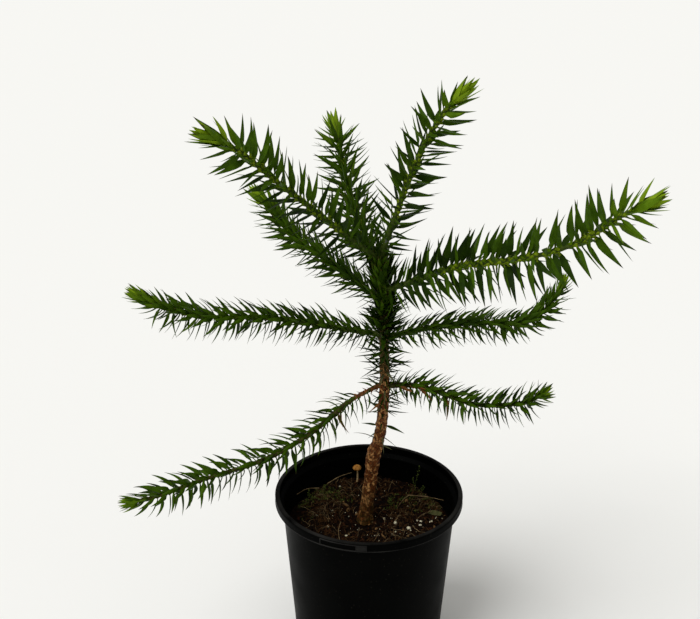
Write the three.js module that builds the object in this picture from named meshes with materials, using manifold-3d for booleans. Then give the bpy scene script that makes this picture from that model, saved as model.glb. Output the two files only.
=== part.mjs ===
// A young monkey puzzle tree in a round nursery pot.
//
// Millimetres, +Z up. The origin is the centre of the pot's flat underside, +X points to the right of the
// tree's broad side and +Y points to its back. The pot stands on the ground, the potting mix fills it to
// below the rim, and the trunk rises from a flat cut on the mix to a fork with three shoots. Two pairs of
// side shoots and one pair of upper shoots leave the trunk below the fork. Each shoot is a short bare limb
// and a leafy mass: one stem with a spiral of stiff, pointed leaves fused to it. Sleeves of leaf bases with
// leaves on them stand round the trunk between the tiers. Every piece is one closed solid, 0.3 mm clear of
// its neighbours.
import * as THREE from "three";
import { mergeVertices } from "three/addons/utils/BufferGeometryUtils.js";
import Module from "manifold-3d";

// ---- driving dimensions -------------------------------------------------------------------------------

const GAP = 0.3; // clearance between neighbouring solids
const GOLDEN_ANGLE = Math.PI * (3 - Math.sqrt(5)); // turn from one leaf to the next round a stem

const POT = {
  height: 190,
  baseRadius: 79,
  shoulderRadius: 92, // outside of the wall where it steps out to the rim
  shoulderHeight: 177,
  rimRadius: 100,
  rimWidth: 5.2, // flat top of the rim, across
  rimSoftening: 1, // small bevel along both edges of the rim's top
  lipHeight: 9, // skirt that hangs from the rim
  lipDraft: 0.3, // its foot is this much further in
  wall: 1.5,
  floor: 2.2,
  sides: 44,
  drainHoles: 8,
  drainRadius: 6,
  drainRing: 62,
};
// The moulded frame on the face of the rim that takes a label, at the front and to the left.
const LABEL_FRAME = { azimuth: -110, halfAngle: 12, low: 181.8, high: 188.9, proud: 0.7, bar: 1.1, facet: 4 };

const MIX = { top: 149, edgeDrop: 2, flatRadius: 40, sides: 44 };

// The trunk's centreline: x at a height above the mix. It leans to the right and then stands up.
const TRUNK = {
  y: 3,
  belowCut: 8, // the line starts this far under the flat cut
  line: [
    { h: -8, x: -4.5 },
    { h: 0, x: -3.9 },
    { h: 39, x: 0.2 },
    { h: 76, x: 5.2 },
    { h: 118, x: 12.7 },
    { h: 162, x: 15.3 },
    { h: 217, x: 14 },
    { h: 265, x: 12 },
    { h: 304, x: 8 },
  ],
  footRadius: 7.4,
  flare: 2.2, // extra radius of the root flare at the cut
  flareHeight: 9, // height over which the flare fades
  topRadius: 3.7,
  sides: 10,
  rings: 18,
};

// One row for each shoot. z is where it leaves the trunk, azimuth is counted from +X towards +Y, turn is how
// far the azimuth drifts along it, and rise holds the angles above level at even steps from root to tip.
// bare is the length of the leafless limb, reach the length from the trunk's line to the last leaf tips, leaf
// a full-grown leaf's length, and turned how far the blades turn about their own length: at 0 a blade's width
// goes round the stem, and at 90 it lies along the stem.
const SHOOTS = [
  {
    name: "lower_left",
    z: 314,
    azimuth: 192,
    turn: 8,
    rise: [-14, -42, -25, -8, -15, 12],
    reach: 302,
    bare: 40,
    leaf: 26,
    turned: 30,
  },
  {
    name: "lower_right",
    z: 311,
    azimuth: -6,
    turn: 0,
    rise: [16, -10, -24, 1, 16, 66],
    reach: 182,
    bare: 15,
    leaf: 25,
    turned: 35,
  },
  {
    name: "middle_left",
    z: 369,
    azimuth: 188,
    turn: -6,
    rise: [11, 14, 9, 0, 17, 39],
    reach: 259,
    bare: 15,
    leaf: 29,
    turned: 45,
  },
  {
    name: "middle_right",
    z: 365,
    azimuth: 12,
    turn: 0,
    rise: [13, 5, -1, -9, 47, 84],
    reach: 222,
    bare: 15,
    leaf: 27,
    turned: 45,
  },
  {
    name: "upper_right",
    z: 416,
    azimuth: -32,
    turn: 10,
    rise: [25, 29, 13, 22, 44, 12],
    reach: 295,
    bare: 16,
    leaf: 37,
    turned: 75,
  },
  {
    name: "upper_left",
    z: 405,
    azimuth: 150,
    turn: -5,
    rise: [25, 28, 20, 43, 34],
    reach: 186,
    bare: 16,
    leaf: 31,
    turned: 50,
  },
  {
    name: "crown_leader",
    z: 449,
    azimuth: -30,
    turn: 0,
    rise: [69, 71, 63, 36],
    reach: 201,
    bare: 16,
    leaf: 34,
    turned: 65,
  },
  {
    name: "crown_left",
    z: 449,
    azimuth: 205,
    turn: 5,
    rise: [37, 42, 40, 44, 9],
    reach: 231,
    bare: 14,
    leaf: 35,
    turned: 60,
  },
  {
    name: "crown_back",
    z: 444,
    azimuth: 113,
    turn: -8,
    rise: [22, 34, 54, 22],
    reach: 194,
    bare: 14,
    leaf: 31,
    turned: 50,
  },
];

const STEM = { rootRadius: 3.2, tipRadius: 1.5, sides: 6, ringEvery: 26 };
const LIMB = { sides: 8, ringEvery: 8 };

// Leaves on the shoots. Angles are between a leaf and its stem.
const LEAF = {
  pitch: 3.9, // stem length between one leaf and the next
  tuft: 6, // extra leaves in the brush at a shoot's tip
  tuftFrom: 0.965, // share of the stem where the brush starts
  tuftAngle: 44, // opening of the brush's outermost leaf
  width: 0.25, // of its length
  thickness: 0.05, // of its length
  thinnest: 0.9, // in millimetres
  bow: 0.05, // how far the tip turns up, as a share of the length
  widest: 0.3, // where it is widest, from its root
  openAngle: 60,
  closedAngle: 12, // at the growing tip
  closing: 0.1, // last share of the stem, where the leaves fold forward
  unevenness: 0.08, // how far a leaf's length may stray, as a share
  shortRoot: 0.76, // leaf length at the foot of a shoot, as a share
  growing: 0.25, // first share of the stem, where the leaves grow to full length
  shortTip: 0.78, // and at its tip
  twist: 40, // how far a blade may turn from its shoot's own turn
  sway: 5, // how far a leaf may lean from its angle
  overhang: 0.72, // how far the last leaves reach past the stem's end, in leaf lengths
};

// Sleeves of leaf bases round the trunk: from and to are heights above the ground.
const SLEEVES = [
  { name: "foot", from: 256, to: 305, leaves: 11, leaf: 25, openAngle: 92 },
  { name: "lower", from: 319, to: 359, leaves: 20, leaf: 27, openAngle: 76 },
  { name: "middle", from: 375, to: 399, leaves: 14, leaf: 28, openAngle: 70 },
  { name: "upper", from: 422, to: 439, leaves: 10, leaf: 29, openAngle: 62 },
];
const SLEEVE = { wall: 1.0, sides: 10, ringEvery: 16 };

// Each line owns the space nearer to it than to any other line. Leaves stay in the space of their own line.
const SPACE = {
  step: 3, // between the points that stand for a line
  probes: [0.3, 0.5, 0.7, 0.85, 1], // shares of a leaf's length where its place is tested
  margin: 0.6, // room kept at each side of a leaf
  lengths: [1, 0.8, 0.62, 0.48], // shares of a leaf's full length that are tried in turn
};
const LINE_STEPS = 48; // steps that lay off a shoot's line
const STEEP = 0.95; // tangents steeper than this take +Y as their upright
const SEEDS = { shoots: 71, sleeves: 211 };

const COLOURS = {
  pot: { color: 0x0b0b0b, roughness: 0.42, metalness: 0 },
  mix: { color: 0x24160d, roughness: 0.95, metalness: 0 },
  bark: { color: 0x5c3c22, roughness: 0.9, metalness: 0 },
  limb: { color: 0x3f4d1c, roughness: 0.8, metalness: 0 },
  leaf: { color: 0x1f4a14, roughness: 0.5, metalness: 0 },
};

// ---- solids --------------------------------------------------------------------------------------------

const wasm = await Module();
wasm.setup();

/** A closed three.js geometry as a solid that can be joined and cut. */
function toSolid(geometry) {
  const bare = new THREE.BufferGeometry().setAttribute("position", geometry.getAttribute("position"));
  if (geometry.index) bare.setIndex(geometry.index);
  const merged = mergeVertices(bare, 1e-4);
  return new wasm.Manifold(
    new wasm.Mesh({
      numProp: 3,
      vertProperties: new Float32Array(merged.attributes.position.array),
      triVerts: new Uint32Array(merged.index.array),
    }),
  );
}

/** The largest body of a solid, without loose scraps and with sealed hollows filled. */
function mainBody(solid) {
  return solid.decompose().reduce((best, body) => (body.volume() > best.volume() ? body : best));
}

/** A solid without the room that other pieces need. */
function cutClear(solid, rooms) {
  return mainBody(rooms.reduce((rest, room) => rest.subtract(room), solid));
}

/** A solid as a named mesh. */
function toMesh(name, solid, look) {
  const { numProp, vertProperties, triVerts } = solid.getMesh();
  const positions = new Float32Array((vertProperties.length / numProp) * 3);
  for (let i = 0; i < positions.length / 3; i++)
    positions.set(vertProperties.subarray(i * numProp, i * numProp + 3), i * 3);
  const geometry = new THREE.BufferGeometry()
    .setAttribute("position", new THREE.BufferAttribute(positions, 3))
    .setIndex(new THREE.BufferAttribute(triVerts, 1));
  geometry.computeVertexNormals();
  const mesh = new THREE.Mesh(geometry, new THREE.MeshStandardMaterial(look));
  mesh.name = name;
  return mesh;
}

/** A solid of revolution about Z from [radius, height] corners. */
function lathe(profile, sides) {
  const points = profile.map(([r, z]) => new THREE.Vector2(r, z));
  return toSolid(new THREE.LatheGeometry(points, sides).rotateX(Math.PI / 2));
}

/** A direction to the side of a tangent that stays level where it can. */
function sideOf(tangent) {
  const upright = Math.abs(tangent.z) > STEEP ? new THREE.Vector3(0, 1, 0) : new THREE.Vector3(0, 0, 1);
  return new THREE.Vector3().crossVectors(tangent, upright).normalize();
}

/** A closed tube of changing radius along a curve, with flat ends. */
function taperedLimb(curve, from, to, radiusAt, sides, rings) {
  const normal = new THREE.Vector3();
  const side = sideOf(curve.getTangentAt(from));
  const positions = [];
  for (let i = 0; i <= rings; i++) {
    const t = from + ((to - from) * i) / rings;
    const centre = curve.getPointAt(t);
    const tangent = curve.getTangentAt(t);
    side.addScaledVector(tangent, -side.dot(tangent)).normalize();
    normal.crossVectors(side, tangent).normalize();
    for (let k = 0; k < sides; k++) {
      const angle = (2 * Math.PI * k) / sides;
      const rim = centre
        .clone()
        .addScaledVector(side, Math.cos(angle) * radiusAt(t))
        .addScaledVector(normal, Math.sin(angle) * radiusAt(t));
      positions.push(rim.x, rim.y, rim.z);
    }
  }
  const start = positions.length / 3;
  for (const t of [from, to]) positions.push(...curve.getPointAt(t).toArray());
  const index = [];
  for (let k = 0; k < sides; k++) {
    const next = (k + 1) % sides;
    for (let i = 0; i < rings; i++) {
      const a = i * sides;
      const b = a + sides;
      index.push(a + k, b + k, a + next, a + next, b + k, b + next);
    }
    index.push(start, k, next, start + 1, rings * sides + next, rings * sides + k);
  }
  const geometry = new THREE.BufferGeometry()
    .setAttribute("position", new THREE.Float32BufferAttribute(positions, 3))
    .setIndex(index);
  const solid = toSolid(geometry);
  return solid.volume() < 0 ? toSolid(geometry.setIndex(index.reverse())) : solid;
}

/** One pointed leaf of eight faces that lies along +Y from its root, with its width along X. */
function leafBlade(length, width, thickness) {
  const y = LEAF.widest * length;
  const girdle = [
    [width / 2, y, 0],
    [0, y, thickness / 2],
    [-width / 2, y, 0],
    [0, y, -thickness / 2],
  ];
  const positions = [0, 0, 0, ...girdle.flat(), 0, length, LEAF.bow * length];
  const index = [];
  for (let k = 0; k < 4; k++) {
    const a = 1 + k;
    const b = 1 + ((k + 1) % 4);
    index.push(0, a, b, 5, b, a);
  }
  return new THREE.BufferGeometry()
    .setAttribute("position", new THREE.Float32BufferAttribute(positions, 3))
    .setIndex(index);
}

// ---- the tree's lines ----------------------------------------------------------------------------------

const trunkLine = new THREE.CatmullRomCurve3(
  TRUNK.line.map(({ h, x }) => new THREE.Vector3(x, TRUNK.y, MIX.top + GAP + h)),
);

/** The share of the trunk's length at a height above the ground. */
function trunkShareAt(z) {
  let low = 0;
  let high = 1;
  while (high - low > 1e-5) {
    const middle = (low + high) / 2;
    if (trunkLine.getPointAt(middle).z < z) low = middle;
    else high = middle;
  }
  return (low + high) / 2;
}

/** The trunk's radius at a share of its length: a taper with a root flare. */
function trunkRadius(t) {
  const h = Math.max(0, t * trunkLine.getLength() - TRUNK.belowCut);
  const taper = THREE.MathUtils.lerp(TRUNK.footRadius, TRUNK.topRadius, Math.pow(t, 0.8));
  return taper + TRUNK.flare * Math.exp(-h / TRUNK.flareHeight);
}

/** A shoot's line, laid off from the trunk by its azimuth and its rise angles. */
function shootLine({ z, azimuth, turn, rise, reach }) {
  const point = trunkLine.getPointAt(trunkShareAt(z));
  const points = [point.clone()];
  for (let i = 0; i < LINE_STEPS; i++) {
    const t = (i + 0.5) / LINE_STEPS;
    const place = t * (rise.length - 1);
    const before = Math.floor(place);
    const degrees = THREE.MathUtils.lerp(rise[before], rise[before + 1], place - before);
    const up = THREE.MathUtils.degToRad(degrees);
    const round = THREE.MathUtils.degToRad(azimuth + turn * t);
    point.addScaledVector(
      new THREE.Vector3(Math.cos(up) * Math.cos(round), Math.cos(up) * Math.sin(round), Math.sin(up)),
      reach / LINE_STEPS,
    );
    points.push(point.clone());
  }
  return new THREE.CatmullRomCurve3(points);
}

/** Shares in [0, 1) from a fixed seed, the same on every run. */
function seededShares(seed) {
  let state = seed;
  return () => {
    state = (state * 1664525 + 1013904223) % 4294967296;
    return state / 4294967296;
  };
}

const lines = new Map([["trunk", trunkLine]]);
for (const shoot of SHOOTS) lines.set(shoot.name, shootLine(shoot));
const linePoints = new Map(
  [...lines].map(([name, line]) => [name, line.getSpacedPoints(Math.ceil(line.getLength() / SPACE.step))]),
);

/** The distance from a point to a named line. */
function distanceTo(name, point) {
  return Math.sqrt(Math.min(...linePoints.get(name).map((p) => p.distanceToSquared(point))));
}

/** True if a leaf keeps to its own line's space, with room for its width. */
function keepsToSpace(owner, root, direction, length, width) {
  return SPACE.probes.every((share) => {
    const point = root.clone().addScaledVector(direction, share * length);
    const room = width * Math.min(1, (1 - share) / (1 - LEAF.widest)) + 2 * SPACE.margin;
    const own = distanceTo(owner, point);
    return [...lines.keys()].every((name) => name === owner || distanceTo(name, point) - own > room);
  });
}

/** The leaf at a place on a line, as long as fits its space, or null where none fits. */
function placedLeaf({ owner, t, round, openAngle, turned, fullLength, share }) {
  const line = lines.get(owner);
  const root = line.getPointAt(t);
  const tangent = line.getTangentAt(t);
  const side = sideOf(tangent);
  const normal = new THREE.Vector3().crossVectors(side, tangent);
  const outward = side.multiplyScalar(Math.cos(round)).addScaledVector(normal, Math.sin(round));
  const open = THREE.MathUtils.degToRad(openAngle + LEAF.sway * (2 * share() - 1));
  const twist = THREE.MathUtils.degToRad(turned + LEAF.twist * (2 * share() - 1));
  const direction = outward.clone().multiplyScalar(Math.sin(open)).addScaledVector(tangent, Math.cos(open));
  const across = new THREE.Vector3().crossVectors(direction, tangent).normalize();
  across.applyAxisAngle(direction, twist);
  const width = LEAF.width * fullLength;
  const length = SPACE.lengths
    .map((shorter) => shorter * fullLength)
    .find((tried) => keepsToSpace(owner, root, direction, tried, width));
  if (!length) return null;
  const blade = leafBlade(length, width, Math.max(LEAF.thickness * fullLength, LEAF.thinnest));
  const face = new THREE.Vector3().crossVectors(across, direction);
  const stance = new THREE.Matrix4().makeBasis(across, direction, face).setPosition(root);
  return toSolid(blade.applyMatrix4(stance));
}

// ---- pieces --------------------------------------------------------------------------------------------

/** A curved bar of the rim's face between two azimuths and two heights. */
function rimBar(fromDegrees, toDegrees, low, high) {
  const inside = POT.rimRadius - POT.wall / 2;
  const outside = POT.rimRadius + LABEL_FRAME.proud;
  const steps = Math.max(1, Math.round((toDegrees - fromDegrees) / LABEL_FRAME.facet));
  const start = THREE.MathUtils.degToRad(fromDegrees);
  const sweep = THREE.MathUtils.degToRad(toDegrees - fromDegrees);
  const outline = new THREE.Shape();
  for (let i = 0; i <= steps; i++) {
    const angle = start + (sweep * i) / steps;
    outline[i ? "lineTo" : "moveTo"](outside * Math.cos(angle), outside * Math.sin(angle));
  }
  for (let i = steps; i >= 0; i--) {
    const angle = start + (sweep * i) / steps;
    outline.lineTo(inside * Math.cos(angle), inside * Math.sin(angle));
  }
  const bar = new THREE.ExtrudeGeometry(outline, { depth: high - low, bevelEnabled: false });
  return toSolid(bar.translate(0, 0, low));
}

/** The four bars of the label frame. */
function labelFrame() {
  const { azimuth, halfAngle, low, high, bar } = LABEL_FRAME;
  const post = THREE.MathUtils.radToDeg(bar / POT.rimRadius);
  const [left, right] = [azimuth - halfAngle, azimuth + halfAngle];
  return [
    rimBar(left, right, low, low + bar),
    rimBar(left, right, high - bar, high),
    rimBar(left, left + post, low, high),
    rimBar(right - post, right, low, high),
  ];
}

/** The corners of the pot's section, from the middle of the underside round to the middle of the floor. */
function potProfile() {
  const { height, baseRadius, shoulderRadius, shoulderHeight, rimRadius, wall, rimSoftening, lipDraft } = POT;
  const inner = rimRadius - POT.rimWidth;
  const underRim = height - wall;
  const lipFoot = height - POT.lipHeight;
  const shoulderTop = shoulderHeight + inner - (shoulderRadius - wall); // the wall steps out at 45 degrees
  const thickness = wall * Math.tan(Math.PI / 8); // keeps the step as thick as the wall
  return [
    [0, 0],
    [baseRadius, 0],
    [shoulderRadius, shoulderHeight],
    [inner + wall, shoulderTop],
    [inner + wall, underRim],
    [rimRadius - wall, underRim],
    [rimRadius - wall, lipFoot],
    [rimRadius - lipDraft, lipFoot],
    [rimRadius, height - rimSoftening],
    [rimRadius - rimSoftening, height],
    [inner + rimSoftening, height],
    [inner, height - rimSoftening],
    [inner, shoulderTop + thickness],
    [shoulderRadius - wall, shoulderHeight + thickness],
    [baseRadius - wall, POT.floor],
    [0, POT.floor],
    [0, 0],
  ];
}

/** Plugs that cut the drainage holes. */
function drainPlugs() {
  return Array.from({ length: POT.drainHoles }, (_, i) => {
    const angle = (2 * Math.PI * (i + 0.5)) / POT.drainHoles;
    const plug = new THREE.CylinderGeometry(POT.drainRadius, POT.drainRadius, 4 * POT.floor, 8);
    plug.rotateX(Math.PI / 2);
    plug.translate(POT.drainRing * Math.cos(angle), POT.drainRing * Math.sin(angle), 0);
    return toSolid(plug);
  });
}

/** The pot: floor with drainage holes, tapered wall, and a hollow rim with its label frame. */
function makePot() {
  const framed = wasm.Manifold.union([lathe(potProfile(), POT.sides), ...labelFrame()]);
  return toMesh("pot", framed.subtract(wasm.Manifold.union(drainPlugs())), COLOURS.pot);
}

/** The potting mix: one block that fills the pot, a little lower at its edge than round the trunk. */
function makeMix() {
  const { baseRadius, shoulderRadius, shoulderHeight, wall, floor } = POT;
  const slope = (shoulderRadius - baseRadius) / (shoulderHeight - floor);
  const insideRadius = (z) => baseRadius - wall - GAP + slope * (z - floor);
  const edge = MIX.top - MIX.edgeDrop;
  const body = lathe(
    [
      [0, floor + GAP],
      [insideRadius(floor + GAP), floor + GAP],
      [insideRadius(edge), edge],
      [MIX.flatRadius, MIX.top],
      [0, MIX.top],
      [0, floor + GAP],
    ],
    MIX.sides,
  );
  return toMesh("potting_mix", body, COLOURS.mix);
}

const trunkEnd = 1 - GAP / trunkLine.getLength();
const trunkSolid = taperedLimb(trunkLine, 0, trunkEnd, trunkRadius, TRUNK.sides, TRUNK.rings).trimByPlane(
  [0, 0, 1],
  MIX.top + GAP,
);
const trunkRoom = taperedLimb(trunkLine, 0, 1, (t) => trunkRadius(t) + GAP, TRUNK.sides, TRUNK.rings);

/** The stem radius of a shoot at a share of its reach. */
function stemRadius(t) {
  return THREE.MathUtils.lerp(STEM.rootRadius, STEM.tipRadius, t);
}

/** The bare limb of a shoot from the trunk's line to where its leaves begin, with some room all round it. */
function limbSolid(shoot, room) {
  const end = (shoot.bare - GAP + room) / shoot.reach;
  const rings = Math.max(2, Math.round(shoot.bare / LIMB.ringEvery));
  return taperedLimb(lines.get(shoot.name), 0, end, (t) => stemRadius(t) + room, LIMB.sides, rings);
}

/** A limb cut clear of the trunk and of the limbs before it. */
function makeLimb(shoot, number) {
  const taken = SHOOTS.slice(0, number).map((earlier) => limbSolid(earlier, GAP));
  return toMesh(`limb_${shoot.name}`, cutClear(limbSolid(shoot, 0), [trunkRoom, ...taken]), COLOURS.limb);
}

/** The leafy mass of a shoot: one stem with a spiral of leaves that folds into a tuft at its tip. */
function makeShoot(shoot, number) {
  const line = lines.get(shoot.name);
  const share = seededShares(SEEDS.shoots + number);
  const start = shoot.bare / shoot.reach;
  const end = 1 - (LEAF.overhang * shoot.leaf) / shoot.reach;
  const rings = Math.round((shoot.reach * (end - start)) / STEM.ringEvery);
  const pieces = [taperedLimb(line, start, end, stemRadius, STEM.sides, rings)];
  const count = Math.round((shoot.reach * (end - start)) / LEAF.pitch);
  for (let i = 0; i < count + LEAF.tuft; i++) {
    const inTuft = (i - count) / LEAF.tuft; // negative for the leaves before the brush
    const along = inTuft < 0 ? (i + 0.6) / count : THREE.MathUtils.lerp(LEAF.tuftFrom, 1, inTuft);
    const t = THREE.MathUtils.lerp(start, end, along);
    const closing = THREE.MathUtils.smoothstep(along, 1 - LEAF.closing, 1);
    const widest = inTuft < 0 ? LEAF.openAngle : LEAF.tuftAngle;
    const angle = THREE.MathUtils.lerp(widest, LEAF.closedAngle, inTuft < 0 ? closing / 2 : inTuft);
    const growth = THREE.MathUtils.smoothstep(along, 0, LEAF.growing);
    const rooted = THREE.MathUtils.lerp(LEAF.shortRoot, 1, growth);
    const tipped = THREE.MathUtils.lerp(1, LEAF.shortTip, closing);
    const length = shoot.leaf * rooted * tipped * (1 + LEAF.unevenness * (2 * share() - 1));
    const leaf = placedLeaf({
      owner: shoot.name,
      t,
      round: i * GOLDEN_ANGLE,
      openAngle: angle,
      turned: shoot.turned,
      fullLength: length,
      share,
    });
    if (leaf) pieces.push(leaf);
  }
  const taken = SHOOTS.map((other) => limbSolid(other, GAP / 2));
  const mass = cutClear(wasm.Manifold.union(pieces), [trunkRoom, ...taken]);
  return toMesh(`shoot_${shoot.name}`, mass, COLOURS.leaf);
}

/** A sleeve of leaf bases round the trunk with leaves standing out of it, cut clear of the trunk. */
function makeSleeve(sleeve, number) {
  const share = seededShares(SEEDS.sleeves + number);
  const [from, to] = [trunkShareAt(sleeve.from), trunkShareAt(sleeve.to)];
  const rings = Math.max(1, Math.round(((to - from) * trunkLine.getLength()) / SLEEVE.ringEvery));
  const outer = (t) => trunkRadius(t) + GAP + SLEEVE.wall;
  const pieces = [taperedLimb(trunkLine, from, to, outer, SLEEVE.sides, rings)];
  for (let i = 0; i < sleeve.leaves; i++) {
    const t = THREE.MathUtils.lerp(from, to, (i + 0.5) / sleeve.leaves);
    const grown = sleeve.leaf * (1 + LEAF.unevenness * (2 * share() - 1));
    const leaf = placedLeaf({
      owner: "trunk",
      t,
      round: i * GOLDEN_ANGLE,
      openAngle: sleeve.openAngle,
      turned: 0,
      fullLength: grown,
      share,
    });
    if (leaf) pieces.push(leaf);
  }
  const taken = SHOOTS.map((shoot) => limbSolid(shoot, GAP));
  const mass = cutClear(wasm.Manifold.union(pieces), [trunkRoom, ...taken]);
  return toMesh(`trunk_leaves_${sleeve.name}`, mass, COLOURS.leaf);
}

const tree = new THREE.Group();
tree.add(makePot(), makeMix(), toMesh("trunk", trunkSolid, COLOURS.bark));
SLEEVES.forEach((sleeve, i) => tree.add(makeSleeve(sleeve, i)));
SHOOTS.forEach((shoot, i) => tree.add(makeLimb(shoot, i), makeShoot(shoot, i)));

export default tree;
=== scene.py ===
"""A young monkey puzzle tree in a black nursery pot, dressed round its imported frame.

The frame gives the pot, the potting mix, the trunk, the limbs and one leafy mass for each shoot. Here the
trunk gets its bark, each limb and mass gives way to a knobbed stem with a close spiral of pointed leaves
grown by the rule of the solids, the pot gets a smooth rim and a label frame, and the mix gets its crumbs,
bark chips, perlite, rootlets and moss. Sizes are in millimetres and become metres when a mesh is made.
"""

from __future__ import annotations

import logging
import math
from collections.abc import Callable, Sequence
from dataclasses import dataclass, field, replace
from enum import Enum

import bpy
import numpy as np
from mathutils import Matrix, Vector, noise

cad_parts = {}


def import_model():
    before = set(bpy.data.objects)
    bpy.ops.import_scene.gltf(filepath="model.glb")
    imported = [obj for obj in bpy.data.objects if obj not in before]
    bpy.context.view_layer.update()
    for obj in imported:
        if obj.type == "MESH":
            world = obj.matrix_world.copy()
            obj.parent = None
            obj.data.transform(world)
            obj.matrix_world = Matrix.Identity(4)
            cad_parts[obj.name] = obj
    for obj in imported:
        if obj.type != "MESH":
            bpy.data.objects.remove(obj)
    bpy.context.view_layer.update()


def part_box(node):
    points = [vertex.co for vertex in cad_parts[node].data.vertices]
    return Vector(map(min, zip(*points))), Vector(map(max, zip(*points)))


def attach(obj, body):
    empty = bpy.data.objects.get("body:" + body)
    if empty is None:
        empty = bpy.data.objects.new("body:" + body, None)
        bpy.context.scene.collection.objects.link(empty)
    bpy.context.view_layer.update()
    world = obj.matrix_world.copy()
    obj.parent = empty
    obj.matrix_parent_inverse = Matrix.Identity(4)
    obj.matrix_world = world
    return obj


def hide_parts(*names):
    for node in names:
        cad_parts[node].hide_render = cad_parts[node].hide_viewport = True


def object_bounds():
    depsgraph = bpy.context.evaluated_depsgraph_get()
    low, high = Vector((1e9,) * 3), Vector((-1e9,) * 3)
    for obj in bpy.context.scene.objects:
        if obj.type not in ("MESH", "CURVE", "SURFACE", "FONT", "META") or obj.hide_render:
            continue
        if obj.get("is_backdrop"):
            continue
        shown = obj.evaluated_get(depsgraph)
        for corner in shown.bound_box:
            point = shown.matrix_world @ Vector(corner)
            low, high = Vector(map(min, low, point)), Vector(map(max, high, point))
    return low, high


LOG = logging.getLogger("monkey_puzzle")

MM = 0.001
BODY = "root"
TURN = 2 * math.pi
GOLDEN_ANGLE = math.pi * (3 - math.sqrt(5))
SHOOT_SEED, SLEEVE_SEED = 71, 211
UP = np.array([0.0, 0.0, 1.0])
BACK = np.array([0.0, 1.0, 0.0])
STEEP = 0.95  # rise of a direction of length one above which up is no guide to its sides

Span = tuple[float, float]
Place = tuple[float, float, float]
Colour = tuple[float, float, float]
Face = tuple[int, ...]
Form = tuple[np.ndarray, list[Face]]  # points and faces
Socket = bpy.types.NodeSocket
Node = bpy.types.Node
NodeTree = bpy.types.NodeTree
Material = bpy.types.Material
Rough = tuple[Socket, float, float]  # a mask, and the roughness where it is 0 and where it is 1
Piece = bpy.types.Object


# ---- small tools ----


def smoothstep(value: float, low: float, high: float) -> float:
    """The smooth step from 0 at low to 1 at high."""
    share = min(max((value - low) / (high - low), 0.0), 1.0)
    return share * share * (3 - 2 * share)


def lerp(start: float, end: float, share: float) -> float:
    """The value at a share of the way from start to end."""
    return start + (end - start) * share


def unit(vector: np.ndarray) -> np.ndarray:
    """The vector at length one."""
    return vector / np.linalg.norm(vector)


def polar(radius: float, angle: float) -> Span:
    """The x and y at a radius and an angle in radians."""
    return radius * math.cos(angle), radius * math.sin(angle)


def swung(first: np.ndarray, second: np.ndarray, angle: float) -> np.ndarray:
    """The direction at an angle in radians from the first one towards the second, which is square to it."""
    return first * math.cos(angle) + second * math.sin(angle)


def fractal(point: Sequence[float], scale: float, octaves: int = 3) -> float:
    """Fractal noise of about -1 to 1 at a point, with its largest bumps of the size scale."""
    return noise.fractal(Vector(point) / scale, 1.0, 2.0, octaves)


class SeededShares:
    """Shares in [0, 1) from a fixed seed, the same on every run."""

    MODULUS = 4294967296
    FACTOR = 1664525
    STEP = 1013904223

    def __init__(self, seed: int) -> None:
        """Starts the row of shares at a seed."""
        self.state = seed

    def share(self) -> float:
        """The next share."""
        self.state = (self.state * self.FACTOR + self.STEP) % self.MODULUS
        return self.state / self.MODULUS

    def angle(self) -> float:
        """The next angle of a full turn, in radians."""
        return TURN * self.share()

    def around(self, spread: float) -> float:
        """The next value between minus and plus the spread."""
        return spread * (2 * self.share() - 1)

    def between(self, low: float, high: float) -> float:
        """The next value between two limits."""
        return lerp(low, high, self.share())

    def varied(self, value: float, share: float) -> float:
        """A value, up to a share of it larger or smaller."""
        return value * (1 + self.around(share))


class GrowthLine:
    """A line that a trunk or shoot grows along, measured by shares of its length."""

    REACH = 3.0  # half of the stretch that a tangent is read over

    def __init__(self, points: np.ndarray) -> None:
        """Keeps the points and how far along the line each one is.

        Args:
            points: Points along the line.
        """
        self.points = points
        steps = np.linalg.norm(np.diff(points, axis=0), axis=1)
        self.travelled = np.concatenate([[0.0], np.cumsum(steps)])
        self.length = float(self.travelled[-1])

    def at(self, share: float) -> np.ndarray:
        """The point at a share of the length."""
        distance = min(max(share, 0.0), 1.0) * self.length
        return np.array([np.interp(distance, self.travelled, self.points[:, k]) for k in range(3)])

    def tangent(self, share: float) -> np.ndarray:
        """The direction of growth at a share of the length."""
        reach = self.REACH / self.length
        return unit(self.at(min(share + reach, 1.0)) - self.at(max(share - reach, 0.0)))

    def share_at_height(self, height: float) -> float:
        """The share of the length at a height, on a line that only rises."""
        return float(np.interp(height, self.points[:, 2], self.travelled)) / self.length

    def spaced(self, step: float) -> np.ndarray:
        """Points along the line, about a step apart."""
        count = math.ceil(self.length / step)
        return np.array([self.at(i / count) for i in range(count + 1)])


def smooth_line(knots: Sequence[Sequence[float]], samples: int = 16) -> GrowthLine:
    """A centripetal Catmull-Rom line through knots.

    Args:
        knots: The points that the line passes.
        samples: Points laid between two knots.

    Returns:
        The line.
    """
    inner = np.array(knots, float)
    all_knots = np.vstack([2 * inner[0] - inner[1], inner, 2 * inner[-1] - inner[-2]])
    points = [inner[0]]
    for i in range(len(inner) - 1):
        p = all_knots[i : i + 4]
        gaps = np.sqrt(np.linalg.norm(np.diff(p, axis=0), axis=1))
        k = np.concatenate([[0.0], np.cumsum(gaps)])
        for j in range(1, samples + 1):
            at = lerp(k[1], k[2], j / samples)
            a = [(p[n] * (k[n + 1] - at) + p[n + 1] * (at - k[n])) / (k[n + 1] - k[n]) for n in range(3)]
            b = [(a[n] * (k[n + 2] - at) + a[n + 1] * (at - k[n])) / (k[n + 2] - k[n]) for n in range(2)]
            points.append((b[0] * (k[2] - at) + b[1] * (at - k[1])) / (k[2] - k[1]))
    return GrowthLine(np.array(points))


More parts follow.
